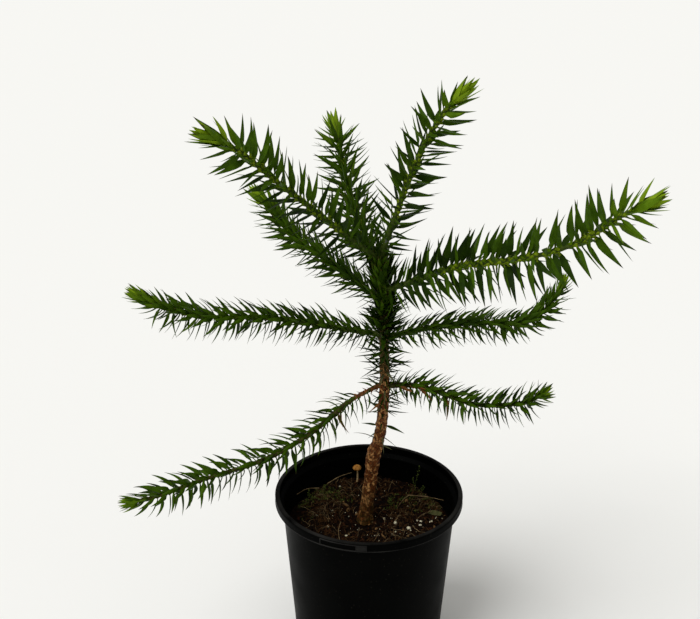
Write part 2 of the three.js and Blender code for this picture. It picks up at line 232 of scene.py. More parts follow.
def side_of(tangent: np.ndarray) -> np.ndarray:
    """A direction to the side of a tangent that stays level where it can."""
    return unit(np.cross(tangent, BACK if abs(tangent[2]) > STEEP else UP))


def placed(name: str, data: bpy.types.ID) -> Piece:
    """A new object in the scene.

    Args:
        name: Its name.
        data: Its mesh, light or camera.

    Returns:
        The object.
    """
    made = bpy.data.objects.new(name, data)
    bpy.context.scene.collection.objects.link(made)
    return made


@dataclass
class MeshDraft:
    """A mesh in the making: points in millimetres, faces, and the finish of each face."""

    points: list[np.ndarray] = field(default_factory=list)
    faces: list[Face] = field(default_factory=list)
    finishes: list[int] = field(default_factory=list)
    strands: list[int] = field(default_factory=list)

    def add(self, form: Form, finishes: Sequence[int] | int = 0, strands: Sequence[int] = ()) -> None:
        """Adds a small closed form.

        Args:
            form: Its points and its faces, which go by the numbers of its own points.
            finishes: The finish of each face, or one for all.
            strands: The strand of each point, where edges along a strand stay sharp.
        """
        points, faces = form
        count = len(self.strands)
        self.points.append(points)
        self.faces.extend(tuple(n + count for n in face) for face in faces)
        self.finishes.extend([finishes] * len(faces) if isinstance(finishes, int) else finishes)
        self.strands.extend(strands or range(-1, -1 - len(points), -1))

    def piece(self, name: str, finishes: Sequence[Material], slot: str) -> Piece:
        """Makes the mesh into a piece that rides on the plant's one body.

        Args:
            name: The name of the piece.
            finishes: Its materials, in the order of the face numbers.
            slot: The name of a record's material slot; it is not used.

        Returns:
            The new object.
        """
        mesh = bpy.data.meshes.new(name)
        mesh.from_pydata((np.vstack(self.points) * MM).tolist(), [], self.faces)
        for finish in finishes:
            mesh.materials.append(finish)
        mesh.polygons.foreach_set("material_index", self.finishes)
        mesh.polygons.foreach_set("use_smooth", [True] * len(mesh.polygons))
        ends = np.empty(2 * len(mesh.edges), np.int32)
        mesh.edges.foreach_get("vertices", ends)
        strand = np.array(self.strands)[ends.reshape(-1, 2)]
        sharp = mesh.attributes.new("sharp_edge", "BOOLEAN", "EDGE")
        sharp.data.foreach_set("value", strand[:, 0] == strand[:, 1])
        mesh.validate()
        mesh.update()
        made = placed(name, mesh)
        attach(made, BODY)
        LOG.info("%s: %d points, %d faces", name, len(mesh.vertices), len(mesh.polygons))
        return made


def ring(radius: float, height: float, sides: int, offset: float = 0.0) -> list[Place]:
    """Points round the upright axis, turned on by an offset in steps."""
    return [(*polar(radius, TURN * (k + offset) / sides), height) for k in range(sides)]


def skin(rings: int, sides: int, start: int = 0, flip: bool = False) -> list[Face]:
    """The faces that join rings of points.

    Args:
        rings: How many rings follow the first.
        sides: Points in a ring.
        start: The number of the first point.
        flip: Whether the faces look the other way.

    Returns:
        The faces.
    """
    firsts = [start + i * sides for i in range(rings)]
    corners = [(first + k, first + (k + 1) % sides) for first in firsts for k in range(sides)]
    if flip:
        return [(a, b, b + sides, a + sides) for a, b in corners]
    return [(a, a + sides, b + sides, b) for a, b in corners]


def tube(
    line: GrowthLine,
    radius: Callable[[float, float], float],
    sides: int,
    ring_every: float,
    start: float = 0.0,
    end: float = 1.0,
) -> Form:
    """A closed tube along a line.

    Args:
        line: The line it follows.
        radius: Its radius from the share of the line and the angle round it.
        sides: Points in a ring.
        ring_every: Millimetres from ring to ring.
        start: The share of the line where it starts.
        end: The share where it ends.

    Returns:
        Its points and faces.
    """
    rings = max(2, round((end - start) * line.length / ring_every))
    side = side_of(line.tangent(start))
    points = []
    for i in range(rings + 1):
        t = lerp(start, end, i / rings)
        tangent = line.tangent(t)
        side = unit(side - np.dot(side, tangent) * tangent)
        normal = np.cross(side, tangent)
        for k in range(sides):
            angle = TURN * k / sides
            points.append(line.at(t) + radius(t, angle) * swung(side, normal, angle))
    caps = [tuple(range(sides)), tuple(rings * sides + k for k in reversed(range(sides)))]
    return np.array(points), skin(rings, sides) + caps


def turned(profile: Sequence[Span], sides: int) -> Form:
    """A closed form turned about the upright axis.

    Args:
        profile: Its [radius, height] corners, from the axis below to the axis above.
        sides: Points in a ring.

    Returns:
        Its points and faces.
    """
    on_axis = 1e-6
    points: list[Place] = []
    rings: list[list[int]] = []
    for radius, height in profile:
        first = len(points)
        if radius < on_axis:
            rings.append([first] * sides)
            points.append((0.0, 0.0, height))
        else:
            rings.append(list(range(first, first + sides)))
            points.extend(ring(radius, height, sides))
    faces: list[Face] = []
    for low, high in zip(rings, rings[1:]):
        for k in range(sides):
            after = (k + 1) % sides
            faces.append(tuple(dict.fromkeys([low[k], low[after], high[after], high[k]])))
    return np.array(points), [face for face in faces if len(face) > 2]


def eased(profile: Sequence[Place]) -> list[Span]:
    """A profile with its corners rounded.

    Args:
        profile: Corners as [radius, height, rounding], where rounding is the cut taken along each side.

    Returns:
        The profile's points.
    """
    steps = 5
    made: list[Span] = []
    for i, (x, z, cut) in enumerate(profile):
        if cut <= 0:
            made.append((x, z))
            continue
        corner = np.array([x, z])
        before = unit(np.array(profile[i - 1][:2]) - corner)
        after = unit(np.array(profile[i + 1][:2]) - corner)
        for k in range(steps + 1):
            s = k / steps
            made.append(tuple((corner + before * cut * (1 - s) ** 2 + after * cut * s**2).tolist()))
    return made


# ---- finishes ----


class SocketKind(Enum):
    """The kinds of socket that the shared groups use."""

    NUMBER = "NodeSocketFloat"
    VECTOR = "NodeSocketVector"
    COLOUR = "NodeSocketColor"


NUMBER, VECTOR, COLOUR = SocketKind


class Sketch:
    """A node tree in the making. A node stands for its first output wherever a socket is asked for."""

    def __init__(self, tree: NodeTree) -> None:
        """Keeps the tree."""
        self.tree = tree

    def feed(self, target: Socket, value: object) -> None:
        """Links a socket or a node to an input, or sets the input to a value.

        Args:
            target: The input.
            value: The socket, node or value. A colour is given without its alpha.
        """
        if isinstance(value, (Node, Socket)):
            self.tree.links.new(value.outputs[0] if isinstance(value, Node) else value, target)
        else:
            target.default_value = (*value, 1.0) if target.type == "RGBA" else value

    def node(self, kind: str, feeds: dict[str | int, object], **settings: object) -> Node:
        """Adds a node and feeds its inputs.

        Args:
            kind: The node's type.
            feeds: What to link or set, by the input's name or number.
            **settings: Its own properties.

        Returns:
            The new node.
        """
        made = self.tree.nodes.new("ShaderNode" + kind)
        for key, value in settings.items():
            setattr(made, key, value)
        for key, value in feeds.items():
            self.feed(made.inputs[key], value)
        return made

    def apply(self, operation: str, *values: object, kind: str = "Math", **settings: object) -> Node:
        """Adds a node that does an operation to sockets or numbers."""
        return self.node(kind, dict(enumerate(values)), operation=operation, **settings)

    def noise(self, place: object, scale: object, detail: float) -> Node:
        """Adds soft noise."""
        return self.node("TexNoise", {"Vector": place, "Scale": scale, "Detail": detail})

    def spread(self, value: object, low: float, high: float, start: float = 0.0, end: float = 1.0) -> Node:
        """Adds a node that turns low into start, high into end and what is between in proportion."""
        return self.node("MapRange", {0: value, 1: low, 2: high, 3: start, 4: end})

    def mixed(self, factor: object, first: object, second: object) -> Socket:
        """A mix of two colours, the first one at factor 0 and the second at factor 1."""
        return self.node("Mix", {0: factor, 6: first, 7: second}, data_type="RGBA").outputs[2]


class Effect(Sketch):
    """A shader node group in the making, with named inputs and outputs."""

    def __init__(self, name: str, inputs: dict[SocketKind, str], outputs: dict[SocketKind, str]) -> None:
        """Makes the group and its sockets.

        Args:
            name: The group's name.
            inputs: The names of its inputs of each kind, with spaces between them.
            outputs: The names of its outputs, in the same way.
        """
        super().__init__(bpy.data.node_groups.new(name, "ShaderNodeTree"))
        for way, sockets in (("INPUT", inputs), ("OUTPUT", outputs)):
            for kind, labels in sockets.items():
                for label in labels.split():
                    self.tree.interface.new_socket(name=label, in_out=way, socket_type=kind.value)
        self.get = self.tree.nodes.new("NodeGroupInput").outputs
        self.end = self.tree.nodes.new("NodeGroupOutput").inputs

    def give(self, **outputs: object) -> NodeTree:
        """Feeds the group's outputs.

        Args:
            **outputs: A socket or node for each output.

        Returns:
            The node group.
        """
        for label, value in outputs.items():
            self.feed(self.end[label], value)
        return self.tree


class Effects:
    """The shared node groups, each built once."""

    def __init__(self) -> None:
        """Builds the groups."""
        self.blotch = self.build_blotch()
        self.specks = self.build_specks()
        self.flakes = self.build_flakes()

    @staticmethod
    def build_blotch() -> NodeTree:
        """Builds soft blotches of two colours with fine grain, for leaves, plastic, soil and wood.

        Returns:
            The node group.
        """
        grain_share = 0.35
        effect = Effect(
            "blotch",
            {VECTOR: "Vector", NUMBER: "Scale Grain Contrast", COLOUR: "Low High"},
            {COLOUR: "Color", NUMBER: "Mask Height"},
        )
        get = effect.get
        broad = effect.noise(get["Vector"], get["Scale"], 4.0)
        fine = effect.noise(get["Vector"], get["Grain"], 3.0)
        both = effect.apply("MULTIPLY_ADD", fine, grain_share, broad)
        centred = effect.apply("SUBTRACT", both, (1 + grain_share) / 2)
        mask = effect.apply("MULTIPLY_ADD", centred, get["Contrast"], 0.5, use_clamp=True)
        return effect.give(Color=effect.mixed(mask, get["Low"], get["High"]), Mask=mask, Height=fine)

    @staticmethod
    def build_specks() -> NodeTree:
        """Builds scattered specks, for dust on plastic.

        Returns:
            The node group.
        """
        crispness = 9.0
        effect = Effect("specks", {VECTOR: "Vector", NUMBER: "Scale Amount"}, {NUMBER: "Mask"})
        get = effect.get
        cells = effect.node("TexVoronoi", {"Vector": get["Vector"], "Scale": get["Scale"]})
        patches = effect.noise(get["Vector"], get["Scale"], 5.0)
        inside = effect.apply("SUBTRACT", effect.apply("MULTIPLY", patches, get["Amount"]), cells)
        return effect.give(Mask=effect.apply("MULTIPLY", inside, crispness, use_clamp=True))

    @staticmethod
    def build_flakes() -> NodeTree:
        """Builds the uneven scales and cracks of young bark, whose pale flakes are partly painted glints.

        Returns:
            The node group.
        """
        wobble_scale, streak_scale = 190.0, 430.0
        push, stretch = (0.006, 0.006, 0.01), (1, 1, 0.75)
        crack_width, lit_from, lit_to = 0.1, 0.2, 0.56
        effect = Effect(
            "bark_flakes",
            {VECTOR: "Vector", NUMBER: "Scale", COLOUR: "Crack Plate Flake"},
            {COLOUR: "Color", NUMBER: "Crack Height"},
        )
        get = effect.get
        wobble = effect.noise(get["Vector"], wobble_scale, 5.0).outputs[1]
        pushed = effect.apply("MULTIPLY_ADD", wobble, push, get["Vector"], kind="VectorMath")
        drawn = effect.apply("MULTIPLY", pushed, stretch, kind="VectorMath")
        feeds = {"Vector": drawn, "Scale": get["Scale"]}
        edges = effect.node("TexVoronoi", feeds, feature="DISTANCE_TO_EDGE")
        crack = effect.spread(edges, 0.0, crack_width, 1.0, 0.0)
        pick = effect.node("SeparateColor", {"Color": effect.node("TexVoronoi", feeds).outputs[1]})
        streaks = effect.noise(drawn, streak_scale, 3.0)
        # The pale flakes are partly the bark's own tan flakes and partly painted glints.
        lit = effect.spread(effect.apply("MULTIPLY", pick, streaks), lit_from, lit_to)
        wood = effect.mixed(lit, get["Plate"], get["Flake"])
        shade = effect.mixed(crack, wood, get["Crack"])
        return effect.give(Color=shade, Crack=crack, Height=effect.apply("SUBTRACT", streaks, crack))


class Dressing(Sketch):
    """A material in the making: one Principled shader and what feeds it."""

    def __init__(self, name: str) -> None:
        """Starts a material.

        Args:
            name: The material's name.
        """
        self.material = bpy.data.materials.new(name)
        self.material.use_nodes = True
        super().__init__(self.material.node_tree)
        self.place = self.node("TexCoord", {}).outputs["Object"]

    def group(self, tree: NodeTree, **inputs: object) -> Sequence[Socket]:
        """Places a shared group with its own values, and gives its outputs."""
        return self.node("Group", {"Vector": self.place, **inputs}, node_tree=tree).outputs

    def height(self) -> Socket:
        """The height above the ground, in metres."""
        return self.node("SeparateXYZ", {"Vector": self.place}).outputs["Z"]

    def finish(self, colour: Socket, rough: Rough, bump: Node, shine: float) -> Material:
        """Feeds the shader.

        Args:
            colour: The base colour.
            rough: The mask and the limits of the roughness.
            bump: What feeds the normal.
            shine: The specular level.

        Returns:
            The material.
        """
        roughness = self.spread(rough[0], 0.0, 1.0, *rough[1:])
        feeds = {"Base Color": colour, "Roughness": roughness, "Normal": bump, "Specular IOR Level": shine}
        for label, value in feeds.items():
            self.feed(self.tree.nodes["Principled BSDF"].inputs[label], value)
        return self.material

    def bump(self, height: Socket, depth: float, strength: float = 1.0) -> Node:
        """Adds relief of a depth in millimetres."""
        return self.node("Bump", {"Height": height, "Strength": strength, "Distance": depth * MM})


@dataclass(frozen=True)
class BlotchFinish:
    """A surface of two close colours in soft blotches, with a fine grain."""

    name: str
    low: Colour
    high: Colour
    blotch: float  # size of the blotches, in millimetres
    grain: float  # size of the grain, in millimetres
    smooth: float
    dull: float
    contrast: float = 4.0
    relief: float = 0.0  # depth of the grain, in millimetres; a third of its size where this is 0
    shine: float = 0.055

    def material(self, effects: Effects) -> Material:
        """Makes the material.

        Args:
            effects: The shared node groups.

        Returns:
            The material.
        """
        made = Dressing(self.name)
        sizes = {"Scale": 1 / (self.blotch * MM), "Grain": 1 / (self.grain * MM)}
        blotch = made.group(effects.blotch, **sizes, Contrast=self.contrast, Low=self.low, High=self.high)
        bump = made.bump(blotch["Height"], self.relief or self.grain / 3)
        return made.finish(blotch["Color"], (blotch["Mask"], self.smooth, self.dull), bump, self.shine)


@dataclass(frozen=True)
class MouldedPlastic:
    """Black moulded plastic with a fine orange-peel, splashed with a few dried specks, and lightened along
    its rim as a painted highlight.
    """

    name: str = "black_moulded_plastic"
    shade: Colour = (0.0003, 0.0004, 0.0003)
    worn: Colour = (0.0011, 0.0012, 0.0010)
    dust: Colour = (0.026, 0.023, 0.018)
    # The colour of the painted highlight along the top of the rim.
    rim_highlight: Colour = (0.022, 0.021, 0.019)
    highlight_from: float = 189.2  # the height above which the rim is lightened as a painted highlight, in millimetres
    highlight_over: float = 0.8
    patches: float = 26.0  # patches in a metre
    peel: float = 1400.0  # bumps in a metre
    contrast: float = 2.2
    speck_scale: float = 230.0
    speck_amount: float = 0.23
    rough: Span = (0.32, 0.48)
    relief: Span = (0.05, 0.5)  # depth in millimetres, and strength
    shine: float = 0.010

    def material(self, effects: Effects) -> Material:
        """Makes the material.

        Args:
            effects: The shared node groups.

        Returns:
            The material.
        """
        made = Dressing(self.name)
        shades = {"Low": self.shade, "High": self.worn, "Contrast": self.contrast}
        plain = made.group(effects.blotch, Scale=self.patches, Grain=self.peel, **shades)
        specks = made.group(effects.specks, Scale=self.speck_scale, Amount=self.speck_amount)
        splashed = made.mixed(specks["Mask"], plain["Color"], self.dust)
        # Blotches above that height take the highlight colour: a painted highlight on the rim.
        top = made.spread(made.height(), self.highlight_from * MM, (self.highlight_from + self.highlight_over) * MM)
        colour = made.mixed(made.apply("MULTIPLY", top, plain["Mask"]), splashed, self.rim_highlight)
        bump = made.bump(plain["Height"], *self.relief)
        return made.finish(colour, (plain["Mask"], *self.rough), bump, self.shine)


@dataclass(frozen=True)
class YoungBark:
    """Red-brown scaly bark, green with algae at its foot and green-brown above the lowest shoots."""

    name: str = "young_bark"
    crack: Colour = (0.011, 0.0028, 0.0006)
    plate: Colour = (0.096, 0.0265, 0.0048)
    # The pale flake colour is partly the bark's own and partly painted glints.
    flake: Colour = (0.500, 0.250, 0.085)
    algae: Colour = (0.034, 0.021, 0.003)
    young: Colour = (0.056, 0.056, 0.013)
    algae_heights: Span = (156.0, 200.0)  # between which the algae fades out, in millimetres
    algae_cover: float = 1.1
    greening: Span = (312.0, 356.0)  # heights between which the bark turns green
    green_cover: float = 0.85
    flake_scale: float = 350.0
    rough: Span = (0.5, 0.9)
    relief: float = 0.5  # millimetres
    shine: float = 0.1

    def material(self, effects: Effects) -> Material:
        """Makes the material.

        Args:
            effects: The shared node groups.

        Returns:
            The material.
        """
        made = Dressing(self.name)
        shades = {"Crack": self.crack, "Plate": self.plate, "Flake": self.flake}
        flakes = made.group(effects.flakes, Scale=self.flake_scale, **shades)
        blotch = made.group(effects.blotch, Scale=120.0, Grain=900.0, Contrast=5.0)
        height = made.height()
        upper = made.spread(height, *(value * MM for value in self.greening), 0.0, self.green_cover)
        lower = made.spread(height, *(value * MM for value in self.algae_heights), self.algae_cover, 0.0)
        patchy = made.apply("MULTIPLY", lower, blotch["Mask"], use_clamp=True)
        footed = made.mixed(patchy, flakes["Color"], self.algae)
        colour = made.mixed(upper, footed, self.young)
        bump = made.bump(flakes["Height"], self.relief)
        return made.finish(colour, (flakes["Crack"], *self.rough), bump, self.shine)


class LeafTone(Enum):
    """The tones of leaves, from the oldest to the growing tips, and of a leaf's parts.

    Each holds its number and its two colours.
    """

    OLD = 0, (0.0050, 0.0145, 0.0003), (0.0145, 0.0340, 0.0009)
    DARK = 1, (0.0110, 0.0280, 0.0003), (0.0240, 0.0560, 0.0012)
    MIDDLE = 2, (0.0230, 0.0540, 0.0004), (0.0460, 0.0980, 0.0020)
    FRESH = 3, (0.0520, 0.1080, 0.0006), (0.0900, 0.1650, 0.0035)
    TIP = 4, (0.1250, 0.2100, 0.0030), (0.1950, 0.3000, 0.0090)
    FOOT = 5, (0.1000, 0.1600, 0.0035), (0.1800, 0.2500, 0.0090)
    SPINE = 6, (0.0200, 0.0240, 0.0020), (0.0500, 0.0440, 0.0060)
    WITHERED = 7, (0.1250, 0.0420, 0.0130), (0.2700, 0.1180, 0.0380)
    DRY = 8, (0.0460, 0.0520, 0.0190), (0.1000, 0.1020, 0.0440)


# The tone of a blade's underside, where it is paler than its upper side: partly the leaf's pale stomatal
# lines, partly painted glints.
PALER = {LeafTone.OLD: LeafTone.DARK, LeafTone.DARK: LeafTone.MIDDLE}


class Finishes:
    """Every material of the plant and its pot."""

    def __init__(self) -> None:
        """Builds the shared groups and the materials."""
        self.effects = Effects()
        self.plastic = MouldedPlastic().material(self.effects)
        # The label frame and the bead under the rim all stand above this height, so they are lightened all
        # over as a painted highlight.
        frame = MouldedPlastic("label_frame_plastic", highlight_from=180.0, shine=0.05)
        self.frame_plastic = frame.material(self.effects)
        self.bark = YoungBark().material(self.effects)
        make = self.blotched
        blade = (9.0, 0.6, 0.45, 0.65, 3.0, 0.05)
        self.leaves = [make(f"leaf_{tone.name.lower()}", *tone.value[1:], *blade) for tone in LeafTone]
        self.stem = make("green_stem", (0.022, 0.040, 0.005), (0.056, 0.082, 0.012), 4.0, 0.7, 0.5, 0.75)
        self.old_stem = make("old_stem", (0.020, 0.020, 0.004), (0.056, 0.050, 0.012), 4.0, 0.7, 0.5, 0.8)
        self.brown_stem = make("brown_stem", (0.050, 0.016, 0.005), (0.170, 0.070, 0.022), 3.0, 0.6, 0.6, 0.9)
        self.mix = make("potting_mix", (0.0008, 0.0003, 0.0001), (0.0085, 0.0028, 0.0007), 3.0, 0.7, 0.8, 1.0)
        self.chips = [
            make("bark_chip_dark", (0.0010, 0.0004, 0.0001), (0.0060, 0.0022, 0.0007), 2.0, 0.5, 0.7, 0.95),
            make("bark_chip_red", (0.010, 0.0026, 0.0007), (0.040, 0.0110, 0.0024), 2.0, 0.5, 0.65, 0.9),
            make("bark_chip_tan", (0.070, 0.036, 0.012), (0.180, 0.100, 0.040), 2.0, 0.5, 0.7, 0.9),
        ]
        self.perlite = make("perlite", (0.40, 0.36, 0.23), (0.66, 0.62, 0.45), 1.2, 0.35, 0.7, 0.95)
        self.rootlets = [
            make("brown_rootlets", (0.008, 0.0031, 0.0009), (0.086, 0.040, 0.013), 5.0, 0.5, 0.7, 0.9),
            make("pale_twigs", (0.085, 0.055, 0.024), (0.240, 0.170, 0.085), 6.0, 0.5, 0.6, 0.85),
        ]
        self.moss = make("moss", (0.026, 0.042, 0.006), (0.110, 0.135, 0.028), 3.0, 0.5, 0.7, 0.9)
        self.scrap = make("faded_leaf_scrap", (0.042, 0.044, 0.014), (0.08, 0.078, 0.03), 3.0, 0.5, 0.6, 0.85)
        self.toadstool = [
            make("toadstool_cap", (0.200, 0.080, 0.014), (0.420, 0.200, 0.045), 4.0, 0.6, 0.4, 0.6),
            make("toadstool_stalk", (0.300, 0.190, 0.080), (0.480, 0.350, 0.180), 3.0, 0.4, 0.5, 0.7),
        ]

    def blotched(self, *values: object) -> Material:
        """The material of a blotched finish with these values."""
        return BlotchFinish(*values).material(self.effects)


# ---- the tree's lines ----


@dataclass(frozen=True)
class TrunkShape:
    """The trunk's line and taper, as in the solids."""

    depth: float = 3.0  # how far its line stands behind the pot's middle
    below_cut: float = 8.0
    foot_radius: float = 7.4
    flare: float = 2.2
    flare_height: float = 9.0
    top_radius: float = 3.7
    heights: tuple[float, ...] = (-8, 0, 39, 76, 118, 162, 217, 265, 304)  # above the cut
    sideways: tuple[float, ...] = (-4.5, -3.9, 0.2, 5.2, 12.7, 15.3, 14, 12, 8)

    def growth_line(self, foot: float) -> GrowthLine:
        """The trunk's line above the height of its flat cut."""
        return smooth_line([(x, self.depth, foot + h) for h, x in zip(self.heights, self.sideways)])

    def radius(self, line: GrowthLine, share: float) -> float:
        """The trunk's radius at a share of its line.

        Args:
            line: The trunk's line.
            share: The share of it.

        Returns:
            The radius.
        """
        height = max(0.0, share * line.length - self.below_cut)
        taper = lerp(self.foot_radius, self.top_radius, share**0.8)
        return taper + self.flare * math.exp(-height / self.flare_height)


@dataclass(frozen=True)
class HangingLeaf:
    """A leaf that hangs from a shoot by itself: a dead one, or one that is longer than the others."""

    t: float
    around: float  # degrees round the stem; 270 is below it
    open_angle: float
    leaf: float
    tone: LeafTone = LeafTone.WITHERED
    twist: float = 35.0
    bend: float = 25.0
    slim: float = 0.9


@dataclass(frozen=True)
class ShootShape:
    """One shoot, as in the solids, and how it is leaved.

    z is where it leaves the trunk, azimuth is counted from +X towards +Y, turn is how far the azimuth drifts
    along it, and rise holds its angles above level at even steps from root to tip. Leaves on top of it stand
    open_angle from the stem, and those below it open_angle + hanging.
    """

    name: str
    z: float
    azimuth: float
    rise: tuple[float, ...]
    reach: float
    leaf: float
    pitch: float  # stem length between one leaf and the next, near the trunk
    open_angle: float
    hanging: float
    slim: float  # blade width as a share of the widest blades'
    freshness: float  # how light the leaves are towards the tip
    turn: float = 0.0
    loosening: float = 0.2  # how much the pitch grows towards the tip
    sway: float = 9.0
    turned: Span = (20.0, 15.0)  # turn of the blades above the stem and below it
    incurving: float = 24.0  # how far a leaf bends towards the tip
    tuft: Span = (24.0, 0.98)  # angle of its outer leaves, and their length as a share of a leaf's
    opening: float = 0.0  # how far the leaves near the tip stand off further than those near the trunk
    parting: float = 0.0  # how far the leaves at its sides turn up and down, in degrees
    brown: float = 0.0  # share of the stem, from its root, that is brown and almost leafless
    gaps: tuple[Span, ...] = ()  # shares between which the stem is bare
    hung: tuple[HangingLeaf, ...] = ()

    def growth_line(self, root: np.ndarray) -> GrowthLine:
        """The shoot's line, laid off by its azimuth and rise angles.

        Args:
            root: Where it leaves the trunk's line.

        Returns:
            The line.
        """
        steps = 96
        points = [root.copy()]
        for i in range(steps):
            t = (i + 0.5) / steps
            rise = math.radians(np.interp(t * (len(self.rise) - 1), range(len(self.rise)), self.rise))
            round_ = math.radians(self.azimuth + self.turn * t)
            heading = (math.cos(rise) * math.cos(round_), math.cos(rise) * math.sin(round_), math.sin(rise))
            points.append(points[-1] + np.array(heading) * self.reach / steps)
        return GrowthLine(np.array(points))


SHOOTS = (
    ShootShape(
        name="lower_left", z=314, azimuth=192, turn=8, rise=(-14, -42, -25, -8, -15, 12), reach=302, leaf=28,
        pitch=1.3, open_angle=54, hanging=26, slim=0.84, freshness=0.25, brown=0.1, turned=(45, 30),
        tuft=(42, 0.8), incurving=44, hung=(HangingLeaf(0.19, 268, 70, 30), HangingLeaf(0.175, 255, 50, 20)),
    ),
    ShootShape(
        name="lower_right", z=311, azimuth=-6, rise=(16, -10, -24, 1, 16, 66), reach=182, leaf=24,
        pitch=0.8, open_angle=58, hanging=28, slim=1.0, freshness=0.15, tuft=(68, 0.76), incurving=28,
        hung=(
            HangingLeaf(0.08, 330, 25, 22), HangingLeaf(0.15, 10, 22, 20),
            HangingLeaf(0.2, 340, 40, 22), HangingLeaf(0.36, 285, 62, 28),
        ),
    ),
    ShootShape(
        name="middle_left", z=369, azimuth=188, turn=-6, rise=(11, 14, 9, 0, 17, 39), reach=259, leaf=26,
        pitch=0.8, open_angle=48, hanging=36, slim=0.92, freshness=0.5, incurving=30,
        hung=(
            HangingLeaf(0.86, 268, 84, 26, LeafTone.FRESH),
            HangingLeaf(0.81, 272, 106, 30, LeafTone.MIDDLE),
            HangingLeaf(0.75, 266, 96, 22, LeafTone.MIDDLE),
        ),
    ),
    ShootShape(
        name="middle_right", z=365, azimuth=12, rise=(13, 5, -1, -9, 47, 84), reach=222, leaf=24,
        pitch=0.74, open_angle=46, hanging=36, slim=1.0, freshness=0.35, tuft=(40, 0.75), incurving=38,
    ),
    ShootShape(
        name="upper_right", z=416, azimuth=-32, turn=10, rise=(25, 29, 13, 22, 44, 12), reach=295, leaf=39,
        pitch=1.08, open_angle=56, hanging=24, slim=0.8, freshness=0.62, loosening=0.7, sway=8,
        turned=(45, 58), gaps=((0.575, 0.59), (0.65, 0.675)), parting=15, opening=16, incurving=12,
    ),
    ShootShape(
        name="upper_left", z=405, azimuth=150, turn=-5, rise=(25, 28, 20, 43, 34), reach=186, leaf=28,
        pitch=0.68, open_angle=40, hanging=28, slim=0.8, freshness=0.5, incurving=18,
    ),
    ShootShape(
        name="crown_leader", z=449, azimuth=-30, rise=(69, 71, 63, 36), reach=201, leaf=34, pitch=1.6,
        open_angle=56, hanging=20, slim=0.84, freshness=0.55, loosening=0.1, sway=13, turned=(52, 18),
        parting=14, incurving=12,
    ),
    ShootShape(
        name="crown_left", z=449, azimuth=205, turn=5, rise=(37, 42, 40, 44, 9), reach=231, leaf=37,
        pitch=1.65, open_angle=58, hanging=12, slim=0.8, freshness=0.58, sway=11, turned=(55, 12),
        parting=15, incurving=12,
    ),
    ShootShape(
        name="crown_back", z=444, azimuth=113, turn=-8, rise=(22, 34, 54, 22), reach=194, leaf=34,
        pitch=0.8, open_angle=62, hanging=8, slim=0.66, freshness=0.6, turned=(14, 14), incurving=12,
    ),
)


@dataclass(frozen=True)
class SleeveShape:
    """A stretch of the trunk with leaves of its own."""

    name: str
    low: float
    high: float
    leaves: int
    leaf: Span  # length of a leaf at its foot and at its top
    open_angle: float
    sway: float
    slim: float


SLEEVES = (
    SleeveShape("foot", 281, 312, 40, (22, 22), 98, 24, 0.5),
    SleeveShape("lower", 313, 369, 92, (14, 42), 84, 20, 0.5),
    SleeveShape("middle", 366, 410, 140, (30, 26), 56, 20, 0.8),
    SleeveShape("upper", 394, 451, 250, (30, 30), 30, 18, 0.95),
)


@dataclass(frozen=True)
class StrayLeaf:
    """One of the few leaves that are left on the bare lower trunk."""

    z: float
    azimuth: float
    open_angle: float
    bend: float
    leaf: float
    slim: float
    tone: LeafTone


STRAYS = (
    StrayLeaf(266, 184, 84, 14, 18, 0.8, LeafTone.DARK),
    StrayLeaf(267, -12, 100, 16, 23, 0.85, LeafTone.DARK),
    StrayLeaf(259, 205, 130, 0, 12, 0.5, LeafTone.OLD),
    StrayLeaf(251, 188, 74, 42, 27, 0.5, LeafTone.DRY),
    StrayLeaf(254, -22, 108, 18, 20, 0.7, LeafTone.DRY),
    StrayLeaf(244, -8, 100, 12, 14, 0.6, LeafTone.DRY),
    StrayLeaf(256, -62, 148, 8, 20, 0.55, LeafTone.DRY),
    StrayLeaf(262, 100, 105, 10, 18, 0.7, LeafTone.OLD),
    StrayLeaf(238, 60, 120, 14, 18, 0.6, LeafTone.DRY),
    StrayLeaf(272, -95, 125, 0, 13, 0.6, LeafTone.OLD),
)


